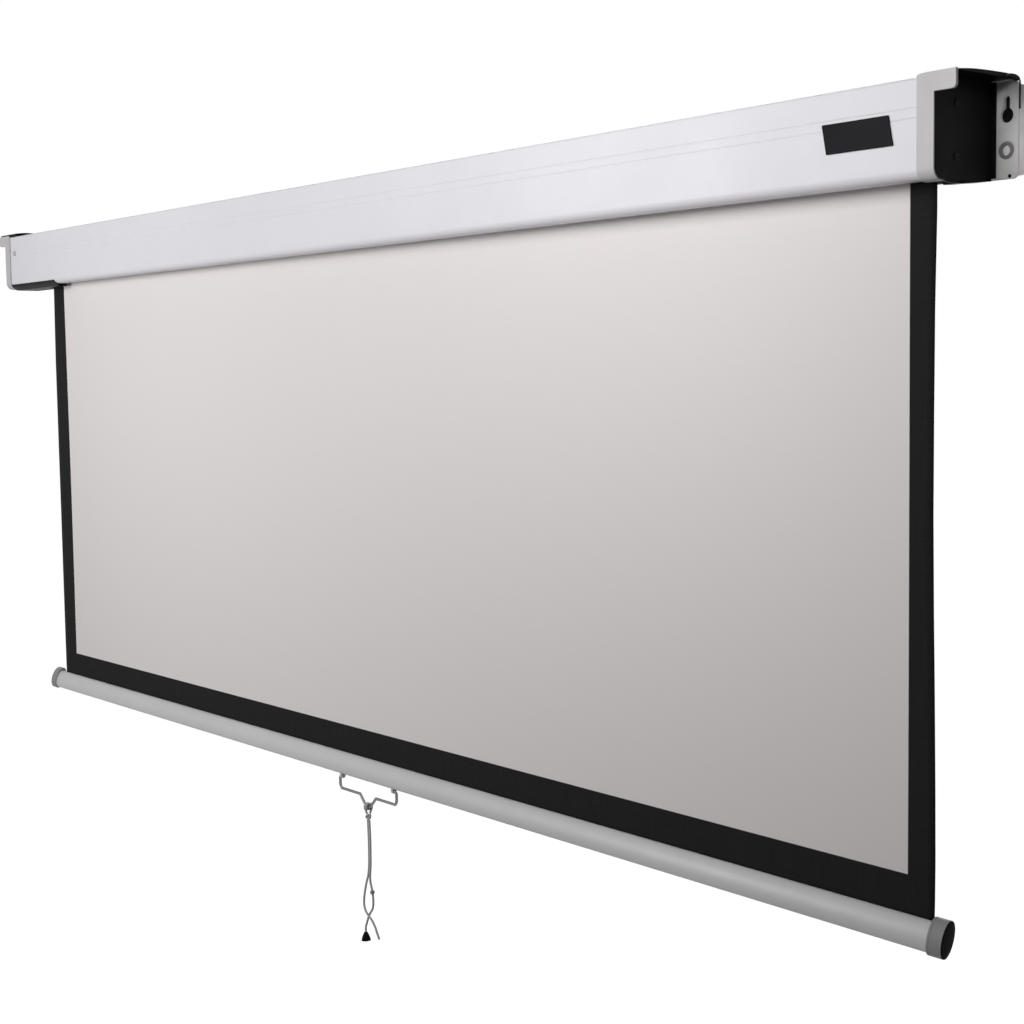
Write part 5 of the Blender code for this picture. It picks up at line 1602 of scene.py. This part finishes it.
@dataclass
class WallFixings:
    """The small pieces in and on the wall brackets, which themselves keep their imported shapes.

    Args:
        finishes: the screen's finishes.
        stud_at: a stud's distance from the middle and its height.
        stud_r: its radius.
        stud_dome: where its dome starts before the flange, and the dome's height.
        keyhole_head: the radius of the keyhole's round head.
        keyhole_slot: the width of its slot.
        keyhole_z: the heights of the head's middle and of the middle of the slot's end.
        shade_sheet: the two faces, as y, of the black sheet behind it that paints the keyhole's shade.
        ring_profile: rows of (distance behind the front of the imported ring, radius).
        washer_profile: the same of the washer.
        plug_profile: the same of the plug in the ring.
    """

    finishes: Finishes
    stud_at: tuple[float, float] = (0.9911, -0.0390)
    stud_r: float = 0.0017
    stud_dome: tuple[float, float] = (0.0001, 0.0010)
    keyhole_head: float = 0.0075
    keyhole_slot: float = 0.0078
    keyhole_z: tuple[float, float] = (0.0137, 0.0275)
    shade_sheet: tuple[float, float] = (-0.0011, -0.0006)
    ring_profile: Line = (
        (0.0020, 0.0041), (0.0008, 0.0041), (0.0002, 0.0043), (-0.0003, 0.0049), (-0.0006, 0.0058),
        (-0.0005, 0.0066), (-0.0001, 0.0073), (0.0006, 0.0077), (0.0012, 0.0077), (0.0020, 0.0043),
        (0.0020, 0.0041),
    )
    washer_profile: Line = (
        (0.0010, 0.0078), (0.0007, 0.0080), (0.0006, 0.0083), (0.0007, 0.0086), (0.0010, 0.0088),
        (0.0012, 0.0088), (0.0012, 0.0078), (0.0010, 0.0078),
    )
    plug_profile: Line = ((0.0010, 0.0), (0.0010, 0.0033), (0.0013, 0.0038), (0.0030, 0.0038), (0.0030, 0.0))

    def round_piece(self, end: End, name: str, material: Material, *profiles: Line) -> Object:
        """Profiles turned about the line through the middle of the ring's hole.

        Args:
            end: which end of the case.
            name: the piece's name, without its end.
            material: its finish.
            profiles: rows of (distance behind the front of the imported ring, radius).

        Returns:
            The piece.
        """
        low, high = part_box("grommet_" + end.letter)
        centre = ((low.x + high.x) / 2, low.y, (low.z + high.z) / 2)
        shell = Shell()
        for profile in profiles:
            shell.grid(turned(profile, centre, (0, 1, 0), 48), caps=False)
        return shell.build(name + "_" + end.letter, material, sharp=40)

    def ring(self, end: End) -> Object:
        """A dark raised ring with a rounded rim, in the hole of a pale washer."""
        return self.round_piece(end, "ring_grey", self.finishes.ring, self.ring_profile)

    def washer(self, end: End) -> Object:
        """The pale washer round the ring, with the plug that closes the ring's hole."""
        bracket = self.finishes.bracket
        return self.round_piece(end, "ring_washer", bracket, self.washer_profile, self.plug_profile)

    def stud(self, end: End) -> Object:
        """The small dark rivet head at the flange's lower outer corner, domed as part of a ball.

        Args:
            end: which end of the case.

        Returns:
            The head.
        """
        t = np.linspace(0, math.pi / 2, 9)
        start, height = self.stud_dome
        dome = np.stack([-start - height * np.sin(t), self.stud_r * np.cos(t)], 1)
        profile = np.concatenate([[(0.0, 0.0), (0.0, self.stud_r)], dome])
        centre = (end.value * self.stud_at[0], FLANGE_FACE, self.stud_at[1])
        shell = Shell().grid(turned(profile, centre, (0, 1, 0), 24), caps=False)
        return shell.build("flange_stud_" + end.letter, self.finishes.black, sharp=40)

    def painted_keyhole_shade(self, end: End) -> Object:
        """Painted shade: a thin black sheet behind the keyhole, inside the wall plate's opening, that darkens
        the hole as shade would.

        Its outline is the keyhole's: an arc of the head's circle and a half circle that ends the slot.

        Args:
            end: which end of the case.

        Returns:
            The black sheet of painted shade.
        """
        half = self.keyhole_slot / 2
        start = math.acos(half / self.keyhole_head)
        head = np.linspace(math.pi - start, math.tau + start, 33)
        slot = np.linspace(0, math.pi, 13)
        wide, (head_z, slot_z) = self.keyhole_head, self.keyhole_z
        low = np.stack([wide * np.cos(head), head_z + wide * np.sin(head)], 1)
        high = np.stack([half * np.cos(slot), slot_z + half * np.sin(slot)], 1)
        outline = np.concatenate([low, high]) + (end.value * KEYHOLE_X, 0.0)
        # This black sheet is painted shade for the keyhole, not a part of the bracket
        shell = Shell().grid(slab(outline, 1, *self.shade_sheet, 0.0001, 2))
        return shell.build("keyhole_painted_shade_" + end.letter, self.finishes.black, sharp=40, level=True)

    def build(self) -> None:
        """Make the rings, washers, studs and black sheets of painted keyhole shade and put them on the case.
        """
        for end in End:
            place(self.ring(end), Body.CASE, "collar_grey", "grommet_" + end.letter)
            place(self.washer(end), Body.CASE, "bracket_grey")
            place(self.stud(end), Body.CASE, "end_black")
            place(self.painted_keyhole_shade(end), Body.CASE, "end_black")


@dataclass
class Fabric:
    """The sheet that hangs from the roller, and what is still wound on it.

    Args:
        finishes: the screen's finishes.
        top: the height of the sheet's start on the roller.
        foot: the height of its foot in the bar.
        bend_end: the height below which it moves with the bar; not used.
        thick: its thickness.
        bow: the depth of its bow.
        ripple: the depth of its ripple.
        ripple_turn: how fast the ripple goes along the width, in radians a metre.
        border: the width in which the wander of the side edges fades.
        left_edge: rows of (share of the height from the top, sideways move) of the left edge.
        right_edge: the same of the right edge.
        roll_radius: the roll's radius.
        roll_bore: the radius of its bore.
        roll_turn: the share of a turn that its spiral makes.
        roll_flat: where the roll starts on the cloth's flat height, and how far it goes.
    """

    finishes: Finishes
    top: float = 0.004
    foot: float = -0.7073
    bend_end: float = -0.690
    thick: float = 0.0006
    bow: float = 0.0009
    ripple: float = 0.0002
    ripple_turn: float = 9.0
    border: float = 0.034
    left_edge: Line = (
        (0.0, 0.0), (0.08, -0.0006), (0.25, -0.0042), (0.45, -0.0050), (0.75, -0.0046), (0.92, -0.0040),
        (1.0, -0.0036),
    )
    right_edge: Line = (
        (0.0, 0.0010), (0.10, 0.0010), (0.22, -0.0010), (0.35, -0.0018), (0.48, -0.0021), (0.60, -0.0010),
        (0.70, 0.0005), (0.82, 0.0020), (0.92, 0.0028), (0.97, 0.0026), (1.0, 0.0022),
    )
    roll_radius: float = 0.0225
    roll_bore: float = 0.0193
    roll_turn: float = 0.98
    roll_flat: tuple[float, float] = (0.1, 0.14)

    def sheet(self) -> Object:
        """The hanging sheet: flat across, with a bow of under a millimetre over its height.

        Depth = y + bow (4 t (1 - t))^2 with t the share of the height, plus a ripple of two tenths
        of a millimetre along the width. Each side edge wanders by the amounts of its table over the
        height, and the wander fades to nothing across the black border.

        Returns:
            The sheet, with black on its back and its rim.
        """
        side = np.linspace(0, self.border, 5)
        x = np.linspace(FABRIC_LEFT + self.border, FABRIC_RIGHT - self.border, 113)
        x = np.concatenate([FABRIC_LEFT + side[:-1], x, FABRIC_RIGHT - side[-2::-1]])
        z = np.linspace(self.foot, self.top, 97)
        xx, zz = np.meshgrid(x, z)
        t = (zz - self.foot) / (self.top - self.foot)
        bow = (4 * t * (1 - t)) ** 2
        y = FABRIC_Y - self.thick / 2 + self.bow * bow + self.ripple * bow * np.sin(xx * self.ripple_turn)
        marks = np.stack([xx - FABRIC_LEFT, zz - self.foot], -1)
        left = np.clip(1 - (xx - FABRIC_LEFT) / self.border, 0, 1)
        right = np.clip(1 - (FABRIC_RIGHT - xx) / self.border, 0, 1)
        xx = xx + left * np.interp(1 - t, *np.transpose(self.left_edge))
        xx = xx + right * np.interp(1 - t, *np.transpose(self.right_edge))
        shell = Shell().grid(np.stack([xx, y, zz], -1), closed=False, caps=False, marks=marks)
        made = shell.build("screen_cloth", self.finishes.front_cloth, outward=False)
        made.data.materials.append(self.finishes.back_cloth)
        solid = made.modifiers.new("thickness", "SOLIDIFY")
        solid.thickness = self.thick
        solid.offset = -1.0
        solid.material_offset = 1
        solid.material_offset_rim = 1
        return made

    def roll(self) -> Object:
        """The wound cloth: a spiral whose radius falls by one thickness in each turn, with a round bore.

        Returns:
            The roll.
        """
        a = np.linspace(0, math.tau * self.roll_turn, 80) + math.pi
        out = self.roll_radius - self.thick * (a - a[0]) / math.tau
        loop = np.stack([ROLLER_Y + out * np.cos(a), ROLLER_Z + out * np.sin(a)], 1)
        bore = np.stack([ROLLER_Y + self.roll_bore * np.cos(a), ROLLER_Z + self.roll_bore * np.sin(a)], 1)
        x = np.linspace(FABRIC_LEFT, FABRIC_RIGHT, 5)
        outer = laid(np.broadcast_to(loop, (5, *loop.shape)), x, 0)
        hollow = laid(np.broadcast_to(bore, (5, *bore.shape)), x, 0)[::-1]
        ring = np.concatenate([outer, hollow, outer[:1]])
        start, reach = self.roll_flat
        across = np.linspace(0, reach, len(loop) + 1) + start
        along = np.concatenate([x, x[::-1], x[:1]]) - FABRIC_LEFT
        marks = np.stack(np.broadcast_arrays(along[:, None], across[None]), -1)
        shell = Shell().grid(ring, caps=False, marks=marks)
        return shell.build("screen_cloth_roll", self.finishes.front_cloth)

    def build(self) -> None:
        roll = place(self.roll(), Body.ROLLER, "fabric_white", "fabric_roll")
        sheet = self.sheet()
        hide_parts("fabric_sheet")
        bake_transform(sheet)
        log.info("%s hangs between case and bottom_bar", sheet.name)


@dataclass
class BottomBar:
    """The leaning oval bar, its collars and its black ends.

    Args:
        finishes: the screen's finishes.
        wall: the tube's thickness.
        collar: a collar's length.
        collar_wall: its thickness.
        taller: how much longer the oval's long half axis is on collars and ends.
        raised: how far its middle moves up that axis there.
        slot_half: half the width of the slot that the cloth goes through.
        tube_ends: the tube's ends, as x.
        collar_rear: rows of (distance from the collar's inner end, fall below its surface).
        collar_front: the same from its outer end.
        spigot: how far an end piece goes into the tube.
        rim_round: the radius of its rim.
        dome_from: where its dome starts, past the collar.
        dome_out: the dome's height.
        dome_in: how far the dome's middle part is drawn in from the rim.
        dome_steps: the shares of both at which the dome has a row of points.
    """

    finishes: Finishes
    wall: float = 0.0012
    collar: float = 0.0165
    collar_wall: float = 0.0014
    taller: float = 0.0017
    raised: float = 0.0015
    slot_half: float = 0.0011
    tube_ends: tuple[float, float] = (-0.884, 0.967)
    collar_rear: Line = (
        (0.0, 0.0005), (0.0002, 0.0001), (0.0006, 0.0), (0.0026, 0.0), (0.0029, 0.0003), (0.0034, 0.0003),
        (0.0037, 0.0),
    )
    collar_front: Line = ((0.0005, 0.0), (0.0001, 0.0002), (0.0, 0.0005))
    spigot: float = 0.0097
    rim_round: float = 0.0008
    dome_from: float = 0.0012
    dome_out: float = 0.0003
    dome_in: float = 0.0055
    dome_steps: tuple[float, ...] = (0.35, 0.7, 1.0)

    def oval(self, grow: Any, angles: Array, head: Any = 0.0) -> Array:
        """Points of the leaning oval in (y, z), which is (a cos t + c, b sin t) turned by the lean.

        Args:
            grow: what both half axes a and b gain.
            angles: the values of t.
            head: the share of the end pieces' taller and raised form.

        Returns:
            Points with (y, z) on the last axis.
        """
        long = (BAR_LONG + grow + head * self.taller) * np.cos(angles) + head * self.raised
        short = (BAR_SHORT + grow) * np.sin(angles)
        y = BAR_Y + long * math.sin(BAR_LEAN) - short * math.cos(BAR_LEAN)
        z = BAR_Z + long * math.cos(BAR_LEAN) + short * math.sin(BAR_LEAN)
        return np.stack([y, z], -1)

    def tube(self) -> Object:
        """The tube: the oval and the same oval a wall's thickness in, open where the cloth goes in.

        Returns:
            The tube.
        """
        start = math.asin(self.slot_half / BAR_SHORT)
        angles = np.linspace(start, math.tau - start, 96)
        ring = np.concatenate([self.oval(0.0, angles), self.oval(-self.wall, angles[::-1])])
        x = np.linspace(*self.tube_ends, 7)
        points = laid(np.broadcast_to(ring, (len(x), *ring.shape)), x, 0)
        return Shell().grid(points).build("bar_oval_tube", self.finishes.bar, sharp=50)

    def loft(self, stations: Iterable[tuple[float, float, float]], steps: int = 72) -> Array:
        """Rings of the oval at stations along the bar.

        Args:
            stations: rows of (x, growth, share of the end pieces' form).
            steps: how many points go round.

        Returns:
            Points of shape (stations, steps, 3).
        """
        table = np.array(list(stations))
        angles = np.arange(steps) * math.tau / steps
        rings = self.oval(table[:, 1:2], angles[None], table[:, 2:])
        return laid(rings, table[:, 0], 0)

    def ring(self, end: End) -> Object:
        """A collar that goes round the bar, with rounded rims and a shallow groove near the tube.

        Args:
            end: which end of the bar.

        Returns:
            The collar.
        """
        s = end.value
        face = BAR_RIGHT if s > 0 else BAR_LEFT
        outer = GAP + self.collar_wall
        back = face - s * self.collar
        outside = [(back + s * run, outer - fall) for run, fall in self.collar_rear]
        outside += [(face - s * run, outer - fall) for run, fall in self.collar_front]
        stations = [(back, GAP, 0), *((x, grow, 1) for x, grow in outside), (face, GAP, 0), (back, GAP, 0)]
        shell = Shell().grid(self.loft(stations), caps=False)
        return shell.build("bar_collar_ring_" + end.letter, self.finishes.collar, sharp=40, level=True)

    def stopper(self, end: End) -> Object:
        """The black end piece: a spigot in the tube, a rim rounded by a quarter circle and a domed face.

        Args:
            end: which end of the bar.

        Returns:
            The end piece.
        """
        s = end.value
        face = BAR_RIGHT if s > 0 else BAR_LEFT
        rim, turn = GAP + self.collar_wall - GAP / 2, self.rim_round
        t = np.linspace(0, math.pi / 2, 6)
        stations = [(face - s * self.spigot, -self.wall - GAP, 0), (face + s * GAP, -self.wall - GAP, 0)]
        stations += [(face + s * (GAP + turn * math.sin(a)), rim - turn * (1 - math.cos(a)), 1) for a in t]
        stations += [
            (face + s * (self.dome_from + self.dome_out * share), rim - turn - self.dome_in * share, 1)
            for share in self.dome_steps
        ]
        shell = Shell().grid(self.loft(stations))
        return shell.build("bar_end_stop_" + end.letter, self.finishes.black, sharp=40, level=True)

    def build(self) -> None:
        """Make the bar's pieces and put them on it."""
        place(self.tube(), Body.BAR, "bar_grey", "bar_tube")
        for end in End:
            place(self.ring(end), Body.BAR, "collar_grey", "bar_collar_" + end.letter)
            place(self.stopper(end), Body.BAR, "end_black", "bar_end_" + end.letter)


@dataclass
class PullBail:
    """The bent wire under the bar.

    Args:
        finishes: the screen's finishes.
        width: the distance between the middles of its legs.
        leg: their length.
        stub: the length of the stubs in the lugs.
        dip_width: the width of the dip in its middle.
        dip_depth: the dip's depth.
        dip_flat: the width of its floor.
        bends: the radii of the bends, from the middle outwards.
        step: the spacing of the centreline's points.
        end_round: the length over which an end is rounded.
        end_share: the share of the radius that is left at its tip.
    """

    finishes: Finishes
    width: float = 0.1285
    leg: float = 0.0174
    stub: float = 0.0085
    dip_width: float = 0.036
    dip_depth: float = 0.0135
    dip_flat: float = 0.010
    bends: tuple[float, float, float, float] = (0.0032, 0.006, 0.006, 0.0045)
    step: float = 0.0006
    end_round: float = 0.0008
    end_share: float = 0.4

    def build(self) -> None:
        """Bend the wire through its corners, round off its ends and hang it in the lugs.

        Near an end the radius is R times the root of (distance to the end / end round) plus the end
        share, and never more than R.
        """
        half, dip, flat = self.width / 2, self.dip_width / 2, self.dip_flat / 2
        low, end = -self.leg, self.width / 2 - self.stub
        corners = [(flat, 0, low - self.dip_depth), (dip, 0, low), (half, 0, low), (half, 0, 0), (end, 0, 0)]
        right = np.array(corners)
        corners = np.concatenate([(right * (-1, 1, 1))[::-1], right])
        path = rounded(corners, self.bends[::-1] + self.bends, 14, closed=False)
        path = smooth_line(path + (BAIL_X, BAIL_Y, BAIL_Z), self.step)
        run = run_of(path)
        near = np.minimum(run, run[-1] - run) / self.end_round
        shrink = np.minimum(1, np.sqrt(np.clip(near, 0, 1)) + self.end_share)
        made = Shell().grid(tube(path, WIRE_R * shrink[:, None], 24, (0.0, 1.0, 0.0)))
        place(made.build("bail_bent_wire", self.finishes.wire), Body.BAIL, "wire_grey", "pull_bail")


@dataclass
class KeptNodes:
    """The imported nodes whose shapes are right: they get a finish and rounded edges.

    Args:
        finishes: the screen's finishes.
        edge: the width of the rounded edges.
        merge: the distance under which two points become one.
        bend: the angle over which an edge is rounded.
    """

    finishes: Finishes
    edge: float = 0.0003
    merge: float = 0.00001
    bend: float = math.radians(40)

    def table(self) -> dict[Material, Sequence[str]]:
        """The nodes that stay, by finish.

        Returns:
            The names of the nodes for each material.
        """
        f = self.finishes
        ends = ("l", "r")
        return {
            f.cap: ["end_cap_" + e for e in ends],
            f.bracket: ["wall_bracket_" + e for e in ends],
            f.zinc: ["wall_plate_" + e for e in ends],
            f.bar: ["bail_lug_" + e for e in ends],
            f.steel: ["spindle", "ratchet_disc", "torsion_spring", "idle_pin", "pawl_pin_a", "pawl_pin_b",
                      "pawl_a", "pawl_b"],
            f.tube: ["roller_tube"],
            f.nylon: ["idle_bush", "spring_anchor", "spring_plug", "idle_plug", "hem_rod"],
        }

    def build(self) -> None:
        """Dress every node and round its edges with live modifiers."""
        for material, nodes in self.table().items():
            for node in nodes:
                piece = frame["nodes"][node]
                piece.data.materials.clear()
                piece.data.materials.append(material)
                normals = piece.data.attributes.get("custom_normal")
                if normals is not None:
                    piece.data.attributes.remove(normals)
                piece.data.shade_smooth()
                weld = piece.modifiers.new("joined", "WELD")
                weld.merge_threshold = self.merge
                log.info("%s keeps its shape", node)
                # The spring's wire is round and has no edges
                if node == "torsion_spring":
                    continue
                bevel = piece.modifiers.new("edges", "BEVEL")
                bevel.width = self.edge
                bevel.segments = 3
                bevel.limit_method = "ANGLE"
                bevel.angle_limit = self.bend
                bevel.harden_normals = True


def main() -> None:
    """Build the camera and the cords first, and then each sub-assembly in turn."""
    logging.basicConfig(level=logging.INFO, format="%(name)s: %(message)s")
    Studio().build()
    finishes = Finishes()
    for assembly in (PullCord, Case, WallFixings, Fabric, BottomBar, PullBail, KeptNodes):
        assembly(finishes).build()
        log.info("%s is in place", assembly.__name__)


if __name__ == "__main__":
    main()
